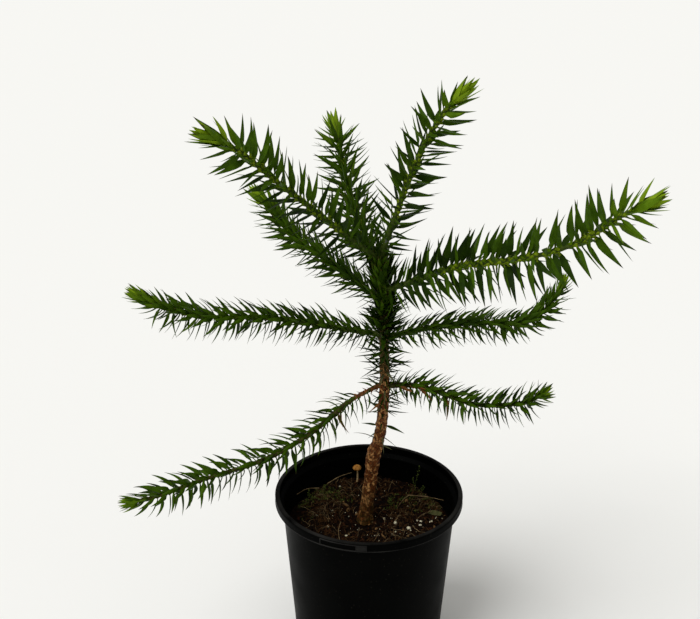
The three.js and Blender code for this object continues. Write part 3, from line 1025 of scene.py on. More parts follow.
@dataclass
class Crown:
    """Every line of the tree, and the room that each has.

    Each line owns the space nearer to it than to any other line, and its leaves keep to it, but for a slack.
    """

    foot: float  # height of the trunk's flat cut
    step: float = 3.0  # between the points that stand for a line
    probes: tuple[float, ...] = (0.3, 0.5, 0.7, 0.85, 1.0)  # shares of a leaf's length that are tried
    slack: float = 3.2  # by which a leaf may reach past the middle between two lines
    lengths: tuple[float, ...] = (1.0, 0.85, 0.7, 0.55, 0.4)  # shares of the full length, longest first
    spare: float = 0.3  # what the leaves keep clear of the plant's outer box

    def __post_init__(self) -> None:
        """Lays the lines and the points that tell whose a space is."""
        self.trunk = TrunkShape()
        self.trunk_line = self.trunk.growth_line(self.foot)
        self.lines: dict[str, GrowthLine] = {"trunk": self.trunk_line}
        for shoot in SHOOTS:
            root = self.trunk_line.at(self.trunk_line.share_at_height(shoot.z))
            self.lines[shoot.name] = shoot.growth_line(root)
        spaced = {name: line.spaced(self.step) for name, line in self.lines.items()}
        self.places = np.vstack(list(spaced.values()))
        self.owners = np.concatenate([[name] * len(points) for name, points in spaced.items()])
        self.low, self.high = (np.array(corner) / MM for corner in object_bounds())

    def fitting_length(self, owner: str, root: np.ndarray, heading: np.ndarray, size: Span) -> float:
        """The longest tried length at which a leaf keeps to its line's space and to the plant's outer box.

        Args:
            owner: The line it grows on.
            root: Where it starts.
            heading: Where it points.
            size: Its full length and width.

        Returns:
            The length, or 0 where none fits.
        """
        length, width = size
        ahead = np.where(heading > 0, self.high - self.spare - root, root - self.low - self.spare)
        length = min(length, float((ahead / np.maximum(np.abs(heading), 1e-6)).min()))
        probes = np.array(self.probes)
        mine = self.owners == owner
        for shorter in self.lengths:
            points = root + np.outer(probes * length * shorter, heading)
            gaps = np.linalg.norm(points[:, None, :] - self.places[None, :, :], axis=2)
            spare = gaps[:, ~mine].min(axis=1) - gaps[:, mine].min(axis=1)
            if (spare > width * np.minimum(1, 1.4 * (1 - probes)) - 2 * self.slack).all():
                return length * shorter
        return 0.0


# ---- leaves, shoots and trunk ----


@dataclass(frozen=True)
class LeafStance:
    """Where and how one leaf stands on its line, with angles in degrees."""

    t: float
    around: float
    open_angle: float
    twist: float
    bend: float
    length: float
    stem: float  # the stem's radius there
    slim: float


@dataclass(frozen=True)
class LeafBlade:
    """The form of one stiff, keeled leaf, with a swollen foot that runs down the stem."""

    width: float = 0.215  # of its length
    thickness: float = 0.026
    widest: float = 0.37
    foot_width: float = 0.44  # of its greatest width
    taper: float = 0.92
    thinning: float = 1.15  # share of its length at which it would be thinned to nothing
    ridge: float = 0.3  # height of its upper side's middle, of the keel's depth
    clasp: float = 0.12  # first share of its length, which bends away from the stem
    set_back: float = 0.6  # of the clasp, by which it starts below its place
    straight: float = 0.4  # share of its length at which it has its open angle
    twisting: float = 0.32  # share of its length that its twist is spread over
    cupping: float = 0.16  # how far the margins stand up, of the half width
    stations: tuple[float, ...] = (0.0, 0.06, 0.13, 0.2, 0.3, 0.44, 0.6, 0.76, 0.89)
    knob: tuple[float, float, float, float] = (0.06, 0.065, 0.16, 0.05)  # half width, height, down and up

    def half_width(self, share: float) -> float:
        """Half of the blade's width, for a blade of length one.

        Args:
            share: The share of its length.

        Returns:
            The half width.
        """
        if share < self.widest:
            swell = math.sin(0.5 * math.pi * share / self.widest)
            return 0.5 * self.width * lerp(self.foot_width, 1.0, swell)
        return 0.5 * self.width * ((1 - share) / (1 - self.widest)) ** self.taper

    def faces(self) -> list[Face]:
        """The faces of a blade: a ring of four at each station, then the point; and after it the knob.

        Returns:
            The faces.
        """
        last = 4 * (len(self.stations) - 1)
        made: list[Face] = [(3, 2, 1, 0), *skin(len(self.stations) - 1, 4, flip=True)]
        point, foot, top = last + 4, last + 5, last + 10
        made.extend((last + k, last + (k + 1) % 4, point) for k in range(4))
        for k in range(4):
            a, b = foot + 1 + k, foot + 1 + (k + 1) % 4
            made.extend([(foot, b, a), (top, a, b)])
        return made

    def tones(self, tone: LeafTone, foot: LeafTone, spine: LeafTone) -> list[int]:
        """The number of each face's tone.

        Args:
            tone: The tone of the blade's upper side.
            foot: The tone of its foot and of the knob.
            spine: The tone of its point.

        Returns:
            The numbers.
        """
        made = [foot] * 9
        made.extend([tone, tone, PALER.get(tone, tone), PALER.get(tone, tone)] * (len(self.stations) - 3))
        made.extend([spine] * 4 + [foot] * 8)
        return [part.value[0] for part in made]

    def strands(self) -> list[int]:
        """The strand of each point, so that the keel and the margins stay crisp."""
        return [k for _ in self.stations for k in range(4)] + [-1] + list(range(-2, -8, -1))

    def points(self, root: np.ndarray, axes: tuple[np.ndarray, np.ndarray], stance: LeafStance) -> np.ndarray:
        """The points of one blade and its knob.

        Args:
            root: The middle of its foot, on the stem.
            axes: The direction straight out from the stem, and the stem's direction of growth.
            stance: How the leaf stands.

        Returns:
            Its points.
        """
        length, (outward, tangent) = stance.length, axes
        opened, bend, twist = (math.radians(a) for a in (stance.open_angle, stance.bend, stance.twist))
        around = np.cross(outward, tangent)
        made = []
        point = root - tangent * self.clasp * length * self.set_back
        before = 0.0
        for share in (*self.stations, 1.0):
            opening = opened * smoothstep((share + before) / 2, -0.02, self.clasp)
            angle = opening + bend * (share - self.straight)
            point = point + swung(tangent, outward, angle) * (share - before) * length
            before = share
            if share == 1.0:
                made.append(point)
                break
            turn = twist * smoothstep(share, 0.0, self.twisting)
            face = swung(-outward, tangent, angle)
            across, upper = swung(around, face, turn), swung(face, -around, turn)
            half = self.half_width(share) * length * stance.slim
            thick = self.thickness * length * (self.thinning - share)
            lift = upper * half * self.cupping
            made.extend([point - across * half + lift, point + upper * thick * self.ridge])
            made.extend([point + across * half + lift, point - upper * thick])
        wide, high, down, up = (share * length for share in self.knob)
        belt = [around * wide, outward * high, -around * wide, -outward * high]
        return np.array(made + [root + offset for offset in (-tangent * down, *belt, tangent * up)])


@dataclass
class Leafing:
    """Puts leaves on the tree's lines by the rule of the solids, more closely."""

    crown: Crown
    finishes: Finishes
    start: float = 5.0  # how far from the trunk's line they begin
    closed_angle: float = 7.0
    closing: float = 0.13
    tuft: int = 13
    short_root: float = 0.74
    growing: float = 0.25
    short_tip: float = 0.74
    spread: float = 34.0  # of the twist
    broadening: Span = (0.8, 1.08)  # of the blades, from root to tip
    unevenness: float = 0.11
    slim_unevenness: float = 0.16
    overhang: float = 0.72
    sunk: float = 0.75  # of the stem's radius, where a leaf's foot starts
    bend_share: float = 0.35  # of its bend, that a leaf's mean direction is turned by
    tuft_slim: float = 1.25
    tuft_twist: float = 22.0
    tuft_sway: float = 4.0
    tuft_depth: float = 0.012  # share of the line that the tuft's leaves start over
    tone_limits: tuple[float, ...] = (0.17, 0.36, 0.62, 0.86)  # of how light a leaf is, between tone and tone

    def __post_init__(self) -> None:
        """Makes the blade that every leaf is drawn from."""
        self.blade = LeafBlade()
        self.faces, self.strands = self.blade.faces(), self.blade.strands()

    def outward(self, owner: str, t: float, around: float) -> np.ndarray:
        """The direction straight out from a line.

        Args:
            owner: The line.
            t: The share of it.
            around: The angle round it in degrees.

        Returns:
            The direction.
        """
        tangent = self.crown.lines[owner].tangent(t)
        side = side_of(tangent)
        return swung(side, np.cross(side, tangent), math.radians(around))

    def put(self, draft: MeshDraft, owner: str, stance: LeafStance, blade: LeafTone, foot: LeafTone) -> None:
        """Adds one leaf to a draft, if it fits.

        Args:
            draft: The mesh it joins.
            owner: The line it grows on.
            stance: How it stands; its length is cut to what fits.
            blade: The tone of its blade.
            foot: The tone of its foot.
        """
        line = self.crown.lines[owner]
        tangent = line.tangent(stance.t)
        outward = self.outward(owner, stance.t, stance.around)
        opened = math.radians(stance.open_angle + self.bend_share * stance.bend)
        heading = swung(tangent, outward, opened)
        root = line.at(stance.t) + outward * stance.stem * self.sunk
        size = (stance.length, self.blade.width * stance.length * stance.slim)
        length = self.crown.fitting_length(owner, root, heading, size)
        if length:
            spine = blade if blade in (LeafTone.TIP, LeafTone.WITHERED, LeafTone.DRY) else LeafTone.SPINE
            points = self.blade.points(root, (outward, tangent), replace(stance, length=length))
            draft.add((points, self.faces), self.blade.tones(blade, foot, spine), self.strands)

    def tone(self, light: float) -> LeafTone:
        """The tone of a leaf from how light it is, from 0 to 1."""
        return list(LeafTone)[sum(light >= limit for limit in self.tone_limits)]


@dataclass
class Shoot:
    """A shoot: its knobbed stem and its leaves."""

    leafing: Leafing
    shape: ShootShape
    number: int
    root_radius: float = 3.0
    tip_radius: float = 1.6
    sides: int = 12
    ring_every: float = 1.5
    knob_size: float = 2.6
    worn: float = 0.76  # how slim the brown stretch is
    knobs: Span = (0.16, 0.3)  # relief of a leafy stretch and of the brown one
    stub: float = 5.5  # length of what is left of the leaves on the brown stretch
    odd_light: float = 0.17  # how much lighter every ninth leaf is

    def __post_init__(self) -> None:
        """Starts the mesh of its leaves and the row of shares that varies them."""
        self.draft, self.chance = MeshDraft(), SeededShares(SHOOT_SEED + self.number)

    def bared(self, t: float) -> float:
        """How far the stem has lost its leaves at a share of its line, from 0 to 1."""
        brown = self.shape.brown
        return 1 - smoothstep(t, brown, 1.7 * brown) if brown else 0.0

    def radius(self, t: float) -> float:
        """The stem's radius at a share of its line."""
        return lerp(self.root_radius, self.tip_radius, t) * lerp(1.0, self.worn, self.bared(t))

    def build_stem(self) -> None:
        """Builds the stem from inside the trunk to under its last leaves."""
        line, finishes = self.leafing.crown.lines[self.shape.name], self.leafing.finishes

        def knobbed(t: float, angle: float) -> float:
            """The stem's radius with the ridges that leaf feet leave on it."""
            place = (math.cos(angle) * 3 + self.number * 9, math.sin(angle) * 3, t * line.length)
            return self.radius(t) * (1 + lerp(*self.knobs, self.bared(t)) * fractal(place, self.knob_size))

        end = 1 - 0.75 * self.shape.leaf / self.shape.reach
        points, faces = tube(line, knobbed, self.sides, self.ring_every, end=end)
        brown_rings = round(self.shape.brown * 1.3 * (len(points) // self.sides))
        draft = MeshDraft()
        draft.add((points, faces), [1 if i // self.sides < brown_rings else 0 for i in range(len(faces))])
        bark = finishes.old_stem if self.shape.freshness < 0.3 else finishes.stem
        made = draft.piece(f"stem_{self.shape.name}", [bark, finishes.brown_stem], "limb")
        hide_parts(f"limb_{self.shape.name}")

    def leaved(self, t: float, number: int) -> bool:
        """Whether the leaf of a number stands, at a share of the line."""
        bare = any(low < t < high for low, high in self.shape.gaps)
        return not bare and (t >= self.shape.brown or number % 3 == 0)

    def build_leaves(self) -> None:
        """Grows the leaves: a spiral up the stem, then a closed brush at its tip, then those that hang."""
        shape, rule = self.shape, self.leafing
        start = rule.start / shape.reach
        end = 1 - rule.overhang * shape.leaf / shape.reach
        t, number = start, 0
        while t < end:
            along = (t - start) / (end - start)
            if self.leaved(t, number):
                self.put_leaf(t, along, number)
            elif t < shape.brown:
                around = math.degrees(number * GOLDEN_ANGLE)
                stance = LeafStance(t, around, 46, 40, 20, self.stub, self.radius(t), 1.5)
                rule.put(self.draft, shape.name, stance, LeafTone.WITHERED, LeafTone.WITHERED)
            t += shape.pitch * (1 + shape.loosening * along) / shape.reach
            number += 1
        self.put_tuft(end, number)
        for leaf in shape.hung:
            angles = (leaf.around, leaf.open_angle, leaf.twist, leaf.bend)
            stance = LeafStance(leaf.t, *angles, leaf.leaf, self.radius(leaf.t), leaf.slim)
            rule.put(self.draft, shape.name, stance, leaf.tone, leaf.tone)
        made = self.draft.piece(f"leaves_{shape.name}", rule.finishes.leaves, "foliage")
        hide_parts(f"shoot_{shape.name}")

    def put_tuft(self, end: float, number: int) -> None:
        """Adds the closed brush of leaves at the tip.

        Args:
            end: The share of the line where the spiral ends.
            number: The number of leaves in the spiral.
        """
        shape, rule, chance = self.shape, self.leafing, self.chance
        for k in range(rule.tuft):
            inner = (k + chance.share()) / rule.tuft
            stance = LeafStance(
                t=end - rule.tuft_depth * (1 - inner),
                around=math.degrees((number + k) * GOLDEN_ANGLE),
                open_angle=lerp(shape.tuft[0], rule.closed_angle, inner**0.6) + chance.around(rule.tuft_sway),
                twist=chance.around(rule.tuft_twist),
                bend=-0.5 * shape.incurving,
                length=chance.varied(shape.leaf * shape.tuft[1] * lerp(1.0, 0.88, inner), 0.06),
                stem=self.radius(1),
                slim=rule.tuft_slim,
            )
            light = lerp(0.6, 0.9, shape.freshness) + 0.3 * inner + chance.around(0.1)
            rule.put(self.draft, shape.name, stance, rule.tone(light), LeafTone.FRESH)

    def put_leaf(self, t: float, along: float, number: int) -> None:
        """Adds one leaf of the spiral.

        Args:
            t: The share of the line where it stands.
            along: The share of the leafy stretch.
            number: Its number in the spiral.
        """
        shape, rule, chance = self.shape, self.leafing, self.chance
        around = math.degrees(number * GOLDEN_ANGLE)
        around += shape.parting * math.sin(2 * math.radians(around))
        above = 0.5 + 0.5 * rule.outward(shape.name, t, around)[2]
        closing = smoothstep(along, 1 - rule.closing, 1.0)
        opened = shape.open_angle + shape.hanging * (1 - above) ** 2 + shape.opening * along
        growth = lerp(rule.short_root, 1.0, smoothstep(along, 0.0, rule.growing))
        thin = 0.7 if t < 2 * shape.brown else 1.0
        turn = lerp(shape.turned[1], shape.turned[0], above) * (1 if chance.share() < 0.5 else -1)
        full = shape.leaf * growth * lerp(1.0, rule.short_tip, closing)
        broad = shape.slim * thin * lerp(*rule.broadening, along)
        stance = LeafStance(
            t=t,
            around=around,
            open_angle=lerp(opened, rule.closed_angle, 0.6 * closing) + chance.around(shape.sway),
            twist=turn + chance.around(rule.spread),
            bend=-shape.incurving + chance.around(0.7 * shape.incurving),
            length=chance.varied(full, rule.unevenness),
            stem=self.radius(t),
            slim=chance.varied(broad, rule.slim_unevenness),
        )
        light = 0.16 + shape.freshness * (0.42 * smoothstep(along, 0.25, 0.95) + 0.35 * closing)
        # The 0.1 * above term is painted light: leaves that face up are made lighter than those that face
        # down.
        light += 0.22 * closing + 0.1 * above + chance.around(0.15)
        light += self.odd_light if number % 9 == 4 else 0.0
        foot = rule.tone(0.3 + shape.freshness * (0.3 + 0.6 * along))
        if shape.freshness > 0.5 and along > 0.25:
            foot = LeafTone.FOOT if chance.share() < 0.6 else LeafTone.FRESH
        rule.put(self.draft, shape.name, stance, rule.tone(light), foot)


@dataclass
class Sleeve:
    """The leaves that grow straight from a stretch of the trunk."""

    leafing: Leafing
    shape: SleeveShape
    number: int
    browning: float = 370.0  # height below which some of its leaves are dry
    dry: float = 0.16  # share of them
    withered: float = 0.02
    twist: float = 40.0
    bend: float = 20.0
    sag: float = -4.0  # mean bend
    unevenness: float = 0.2
    slim_unevenness: float = 0.15

    def build(self) -> None:
        """Grows the leaves of the stretch."""
        shape, crown = self.shape, self.leafing.crown
        line = crown.trunk_line
        chance = SeededShares(SLEEVE_SEED + self.number)
        draft = MeshDraft()
        low, high = (line.share_at_height(z) for z in (shape.low, shape.high))
        for i in range(shape.leaves):
            along = (i + 0.5) / shape.leaves
            t = lerp(low, high, along)
            height = line.at(t)[2]
            stance = LeafStance(
                t=t,
                around=math.degrees(i * GOLDEN_ANGLE),
                open_angle=shape.open_angle + chance.around(shape.sway),
                twist=chance.around(self.twist),
                bend=chance.around(self.bend) + self.sag,
                length=chance.varied(lerp(*shape.leaf, along), self.unevenness),
                stem=crown.trunk.radius(line, t),
                slim=chance.varied(shape.slim, self.slim_unevenness),
            )
            light = 0.06 + 0.22 * smoothstep(height, 300, 450) + chance.around(0.16)
            tone = self.leafing.tone(light)
            fading = chance.share()
            if height < self.browning and fading < self.dry:
                tone = LeafTone.WITHERED if fading < self.withered else LeafTone.DRY
            self.leafing.put(draft, "trunk", stance, tone, LeafTone.DARK)
        if self.number == 0:
            self.put_strays(draft)
        made = draft.piece(f"leaves_trunk_{shape.name}", self.leafing.finishes.leaves, "foliage")
        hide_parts(f"trunk_leaves_{shape.name}")

    def put_strays(self, draft: MeshDraft) -> None:
        """Adds the few leaves that are left below the lowest sleeve.

        Args:
            draft: The mesh they join.
        """
        crown = self.leafing.crown
        for k, leaf in enumerate(STRAYS):
            t = crown.trunk_line.share_at_height(leaf.z)
            stem = crown.trunk.radius(crown.trunk_line, t)
            around, twist = 180 - leaf.azimuth, 24 * (-1) ** k
            stance = LeafStance(t, around, leaf.open_angle, twist, leaf.bend, leaf.leaf, stem, leaf.slim)
            self.leafing.put(draft, "trunk", stance, leaf.tone, leaf.tone)


@dataclass
class Trunk:
    """The trunk with the relief of its bark: leaf scars, burrs, scales and cracks."""

    crown: Crown
    finishes: Finishes
    sides: int = 84
    ring_every: float = 0.75
    scar_pitch: float = 2.3  # trunk length between one leaf scar and the next
    scar_height: float = 2.6
    scar_width: float = 2.4
    scar_depth: float = 0.6
    lumps: Span = (9.0, 0.55)  # size and height of the broad lumps
    flat_plates: Span = (3.4, 0.5)
    plate_limits: Span = (-0.6, 0.45)  # between which the plates' noise is cut off flat
    crumbs: Span = (1.1, 0.18)
    smoothing: Span = (120, 200)  # heights above the cut between which the relief is halved
    burrs: tuple[tuple[float, float, float, float], ...] = (
        (92, 186, 6, 2.0), (82, 192, 6, 2.6), (72, 198, 7, 2.2), (60, 205, 6, 1.2),
        (104, 20, 5, 1.3), (50, 330, 6, 1.2), (28, 250, 7, 0.9), (118, 240, 5, 0.9),
    )  # height above the cut, azimuth, spread and how far each stands out

    def build(self) -> None:
        """Builds the trunk from its flat cut to its fork."""
        line, shape = self.crown.trunk_line, self.crown.trunk
        low, high = (corner.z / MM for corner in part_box("trunk"))
        start = line.share_at_height(low)
        points, faces = tube(line, lambda t, _: shape.radius(line, t), self.sides, self.ring_every, start)
        shares = np.linspace(start, 1.0, len(points) // self.sides)
        centres = np.repeat([line.at(t) for t in shares], self.sides, axis=0)
        self.girth = np.repeat([shape.radius(line, t) for t in shares], self.sides)
        outward = (points - centres) / self.girth[:, None]
        self.heights = points[:, 2] - low
        self.angles = np.arctan2(outward[:, 1], outward[:, 0])
        points = points + outward * (self.scars() + self.plates() + self.knots())[:, None]
        points[:, 2] = np.clip(points[:, 2], low, high)
        draft = MeshDraft()
        draft.add((points, faces))
        made = draft.piece("trunk_bark", [self.finishes.bark], "bark")
        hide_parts("trunk")

    def bump(self, place: Span, size: Span) -> tuple[np.ndarray, np.ndarray]:
        """A round hump on the trunk.

        Args:
            place: Its height and its angle.
            size: The width and the height that count as one.

        Returns:
            Its height at each point, and how far along the trunk each point is from its middle.
        """
        apart = (self.angles - place[1] + math.pi) % TURN - math.pi
        around, along = apart * self.girth / size[0], (self.heights - place[0]) / size[1]
        return np.exp(-(around**2) - along**2), along

    def scars(self) -> np.ndarray:
        """The cushions that fallen leaves leave, in the spiral that the leaves stood in.

        Returns:
            How far each point is raised.
        """
        made = np.zeros_like(self.heights)
        for i in range(int(self.heights.max() / self.scar_pitch)):
            height = i * self.scar_pitch
            hump, along = self.bump((height, i * GOLDEN_ANGLE), (self.scar_width, self.scar_height))
            cushion = self.scar_depth * (hump * (1 + 0.9 * np.tanh(2.5 * along)))
            made += np.where(np.abs(self.heights - height) < 3 * self.scar_height, cushion, 0.0)
        return made

    def knots(self) -> np.ndarray:
        """The burrs where dead shoots were, low on the trunk.

        Returns:
            How far each point is raised.
        """
        made = np.zeros_like(self.heights)
        for height, azimuth, spread, proud in self.burrs:
            made += proud * self.bump((height, math.radians(azimuth)), (0.55 * spread, spread))[0]
        return made

    def plates(self) -> np.ndarray:
        """The uneven lumps, plates and crumbs of the bark, finer towards the top.

        Returns:
            How far each point is raised.
        """
        made = np.empty_like(self.heights)
        (lump_size, lump), (plate_size, plate) = self.lumps, self.flat_plates
        crumb_size, crumb = self.crumbs
        lowest, highest = self.plate_limits
        for i, (height, angle) in enumerate(zip(self.heights, self.angles)):
            around = polar(7, angle)
            relief = lump * fractal((*around, height * 0.6), lump_size, 2)
            relief += plate * max(lowest, min(fractal((*around, height * 0.55), plate_size), highest))
            relief += crumb * fractal((*around, height), crumb_size, 2)
            made[i] = lerp(1.0, 0.5, smoothstep(height, *self.smoothing)) * relief
        return made


# ---- pot and mix ----


@dataclass
class Pot:
    """The nursery pot, as in the solids, with its edges eased."""

    finishes: Finishes
    base_radius: float = 79.0
    shoulder_radius: float = 92.0
    shoulder_height: float = 177.0
    rim_width: float = 5.2
    lip_height: float = 9.0
    lip_draft: float = 0.3
    wall: float = 1.5
    floor: float = 2.2
    sides: int = 256
    drain_holes: int = 8
    drain_radius: float = 6.0
    drain_ring: float = 62.0
    frame_azimuth: float = -109.0
    frame_half_angle: float = 11.0
    frame_low: float = 181.8
    frame_high: float = 188.9
    frame_proud: float = 0.7
    frame_sunk: float = 0.6
    frame_bar: float = 0.8
    frame_easing: float = 0.22
    tab_angle: float = 5.9  # the closed tab at the frame's right end
    tab_proud: float = 0.4  # of what the frame stands out
    bead: float = 0.9  # height of the bead round the lip's lower edge

    def inner_radius(self, height: float) -> float:
        """The inside of the wall at a height."""
        slope = (self.shoulder_radius - self.base_radius) / self.shoulder_height
        return self.base_radius - self.wall + slope * height

    def profile(self) -> list[Span]:
        """The pot's section, with rounded corners.

        Returns:
            Its points.
        """
        low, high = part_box("pot")
        bottom, top, rim = low.z / MM, high.z / MM, high.x / MM
        inner, outer, under = rim - self.rim_width, rim - self.wall, top - self.lip_height
        shoulder_top = self.shoulder_height + inner - (self.shoulder_radius - self.wall)
        thickness = self.wall * math.tan(math.pi / 8)
        corners = [
            (0.0, bottom, 0.0),
            (self.base_radius, bottom, 1.6),
            (self.shoulder_radius, self.shoulder_height, 1.2),
            (inner + self.wall, shoulder_top, 0.8),
            (inner + self.wall, top - self.wall, 0.3),
            (outer, top - self.wall, 0.3),
            (outer, under, 0.3),
            (rim - self.lip_draft, under, 0.5),
            (rim, top, 1.9),
            (inner, top, 1.6),
            (inner, shoulder_top + thickness, 0.8),
            (self.shoulder_radius - self.wall, self.shoulder_height + thickness, 0.8),
            (self.base_radius - self.wall, self.floor, 1.0),
            (0.0, self.floor, 0.0),
        ]
        return eased(corners)

    def build(self) -> None:
        """Builds the pot and bores its drainage holes."""
        draft = MeshDraft()
        draft.add(turned(self.profile(), self.sides))
        made = draft.piece("pot_shell", [self.finishes.plastic], "pot")
        plugs = MeshDraft()
        low, high = -self.floor, 3 * self.floor
        profile = [(0.0, low), (self.drain_radius, low), (self.drain_radius, high), (0.0, high)]
        for centre in ring(self.drain_ring, 0.0, self.drain_holes, 0.5):
            points, faces = turned(profile, 28)
            plugs.add((points + np.array(centre), faces))
        cutter = plugs.piece("drain_plugs", [self.finishes.plastic], "pot")
        cut = made.modifiers.new("drains", "BOOLEAN")
        cut.object = cutter
        cut.operation = "DIFFERENCE"
        cut.solver = "EXACT"
        apply_modifiers(made)
        bpy.data.objects.remove(cutter)
        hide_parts("pot")

    def build_label_frame(self) -> None:
        """Builds the frame on the face of the rim that takes a label, and the bead under the rim."""
        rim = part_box("pot")[1].x / MM
        post = math.degrees(self.frame_bar / rim)
        left, right = self.frame_azimuth - self.frame_half_angle, self.frame_azimuth + self.frame_half_angle
        low, high = self.frame_low, self.frame_high
        end = right + self.tab_angle
        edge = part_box("pot")[1].z / MM - self.lip_height
        bars = (
            (self.frame_proud, left, end, low, low + self.frame_bar),
            (self.frame_proud, left, end, high - self.frame_bar, high),
            (self.frame_proud, left, left + post, low, high),
            (self.frame_proud, right - post, right, low, high),
            (self.frame_proud, end - post, end, low, high),
            (self.tab_proud * self.frame_proud, right, end, low, high),
            (0.0, 0, 360, edge, edge + self.bead),
        )
        draft = MeshDraft()
        for proud, *limits in bars:
            draft.add(self.bar(rim - self.frame_sunk, rim + proud, *limits))
        made = draft.piece("label_frame", [self.finishes.frame_plastic], "pot")
        soften = made.modifiers.new("soften", "BEVEL")
        soften.width = self.frame_easing * MM
        soften.segments = 2
        apply_modifiers(made)

    @staticmethod
    def bar(inside: float, outside: float, left: float, right: float, low: float, high: float) -> Form:
        """A curved bar.

        Args:
            inside: Its inner radius.
            outside: Its outer radius.
            left: The azimuth where it starts, in degrees.
            right: The azimuth where it ends.
            low: The height of its foot.
            high: The height of its top.

        Returns:
            Its points and faces.
        """
        steps = max(1, round(right - left))
        closed = right - left >= 360
        points: list[Place] = []
        for i in range(steps if closed else steps + 1):
            angle = math.radians(lerp(left, right, i / steps))
            section = ((inside, low), (outside, low), (outside, high), (inside, high))
            points.extend((*polar(radius, angle), height) for radius, height in section)
        count = len(points)
        faces: list[Face] = [] if closed else [(3, 2, 1, 0), tuple(range(count - 4, count))]
        faces.extend(tuple(n % count for n in face) for face in skin(steps, 4, flip=True))
        return np.array(points), faces


def apply_modifiers(piece: Piece) -> None:
    """Makes a piece's modifiers part of its mesh.

    Args:
        piece: The piece.
    """
    evaluated = piece.evaluated_get(bpy.context.evaluated_depsgraph_get())
    final = bpy.data.meshes.new_from_object(evaluated)
    piece.modifiers.clear()
    piece.data = final


@dataclass
class PottingMix:
    """The mix in the pot, with its crumbly top."""

    pot: Pot
    level: float  # height of the solid's top
    foot: float  # height of its underside
    litter_level: float = 149.0  # height where the wall bounds what lies on it
    trunk_foot: Place = (-3.9, 3.0, 11.0)  # x, y and the radius that is kept clear
    rings: int = 90
    sides: int = 260
    gap: float = 0.3  # between the mix and the wall
    swell: float = 2.6  # height of the broad unevenness
    swell_size: float = 34.0
    bank: float = 5.0  # how far it is banked up against the wall at the back
    crumble: float = 1.7  # height of the crumbs
    crumb_size: float = 3.6
    drop: float = 2.0  # how far it drops towards the wall

    def top(self, x: float, y: float) -> float:
        """The height of the mix's surface at a place.

        Args:
            x: Millimetres to the right of the pot's middle.
            y: Millimetres behind it.

        Returns:
            The height in millimetres.
        """
        wall = self.pot.inner_radius(self.level)
        edge = self.drop * smoothstep(math.hypot(x, y) / wall, 0.72, 1.0)
        broad = fractal((x, y, 0.0), self.swell_size, 2) * self.swell
        broad += self.bank * smoothstep(y / wall, 0.45, 0.95)
        crumbs = fractal((x, y, 7.0), self.crumb_size, 4) * self.crumble
        return self.level - edge + broad + crumbs

    def build(self) -> None:
        """Builds the block of mix."""
        edge = self.pot.inner_radius(self.level) - self.gap
        points: list[Place] = [(0.0, 0.0, self.top(0.0, 0.0))]
        for i in range(1, self.rings + 1):
            around = ring(edge * (i / self.rings) ** 0.8, 0.0, self.sides, 0.5 * (i % 2))
            points.extend((x, y, self.top(x, y)) for x, y, _ in around)
        foot_radius = self.pot.inner_radius(0.0) - self.gap
        points.extend(ring(foot_radius, self.foot, self.sides, 0.5 * (self.rings % 2)))
        faces: list[Face] = [(0, 1 + k, 1 + (k + 1) % self.sides) for k in range(self.sides)]
        faces.extend(skin(self.rings, self.sides, 1))
        faces.append(tuple(1 + self.rings * self.sides + k for k in reversed(range(self.sides))))
        draft = MeshDraft()
        draft.add((np.array(points), faces))
        made = draft.piece("potting_mix_crumb", [self.pot.finishes.mix], "mix")
        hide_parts("potting_mix")


@dataclass
class Litter:
    """Something strewn, laid or grown on the mix, as one piece.

    Places are x and y in millimetres from the pot's middle, to the right and to the back.
    """

    mix: PottingMix
    seed: int = 0
    name: str = ""

    def __post_init__(self) -> None:
        """Starts the mesh and the row of shares that varies it."""
        self.draft, self.chance = MeshDraft(), SeededShares(self.seed)
        self.wall = self.mix.pot.inner_radius(self.mix.litter_level)

    def build(self, *materials: Material) -> None:
        """Lays it all on the mix, in the materials given, as a new piece."""
        self.lay()
        self.draft.piece(self.name, materials, "mix")

    def lay(self) -> None:
        """Adds all its forms to the mesh."""
        raise NotImplementedError

    def on_mix(self, x: float, y: float, lift: float) -> np.ndarray:
        """The point a lift above the mix's surface."""
        return np.array([x, y, self.mix.top(x, y) + lift])

    def scatter(self, spread: float = 0.97) -> Span:
        """A place on the mix, clear of the trunk, and seldom near the left wall, where the bare near-black
        mix is left to show as painted shade.

        Args:
            spread: The share of the mix's radius that it may lie in.

        Returns:
            Its x and y.
        """
        trunk_x, trunk_y, clear = self.mix.trunk_foot
        while True:
            radius = self.wall * spread * math.sqrt(self.chance.share())
            x, y = polar(radius, self.chance.angle())
            # Most places near the left wall are refused, so the dark mix shows there as painted shade.
            bare = 0.9 * smoothstep(math.hypot(x, y), 52, 80) * smoothstep(-x - 0.2 * y, 0, 30)
            if math.hypot(x - trunk_x, y - trunk_y) > clear and self.chance.share() > bare:
                return x, y


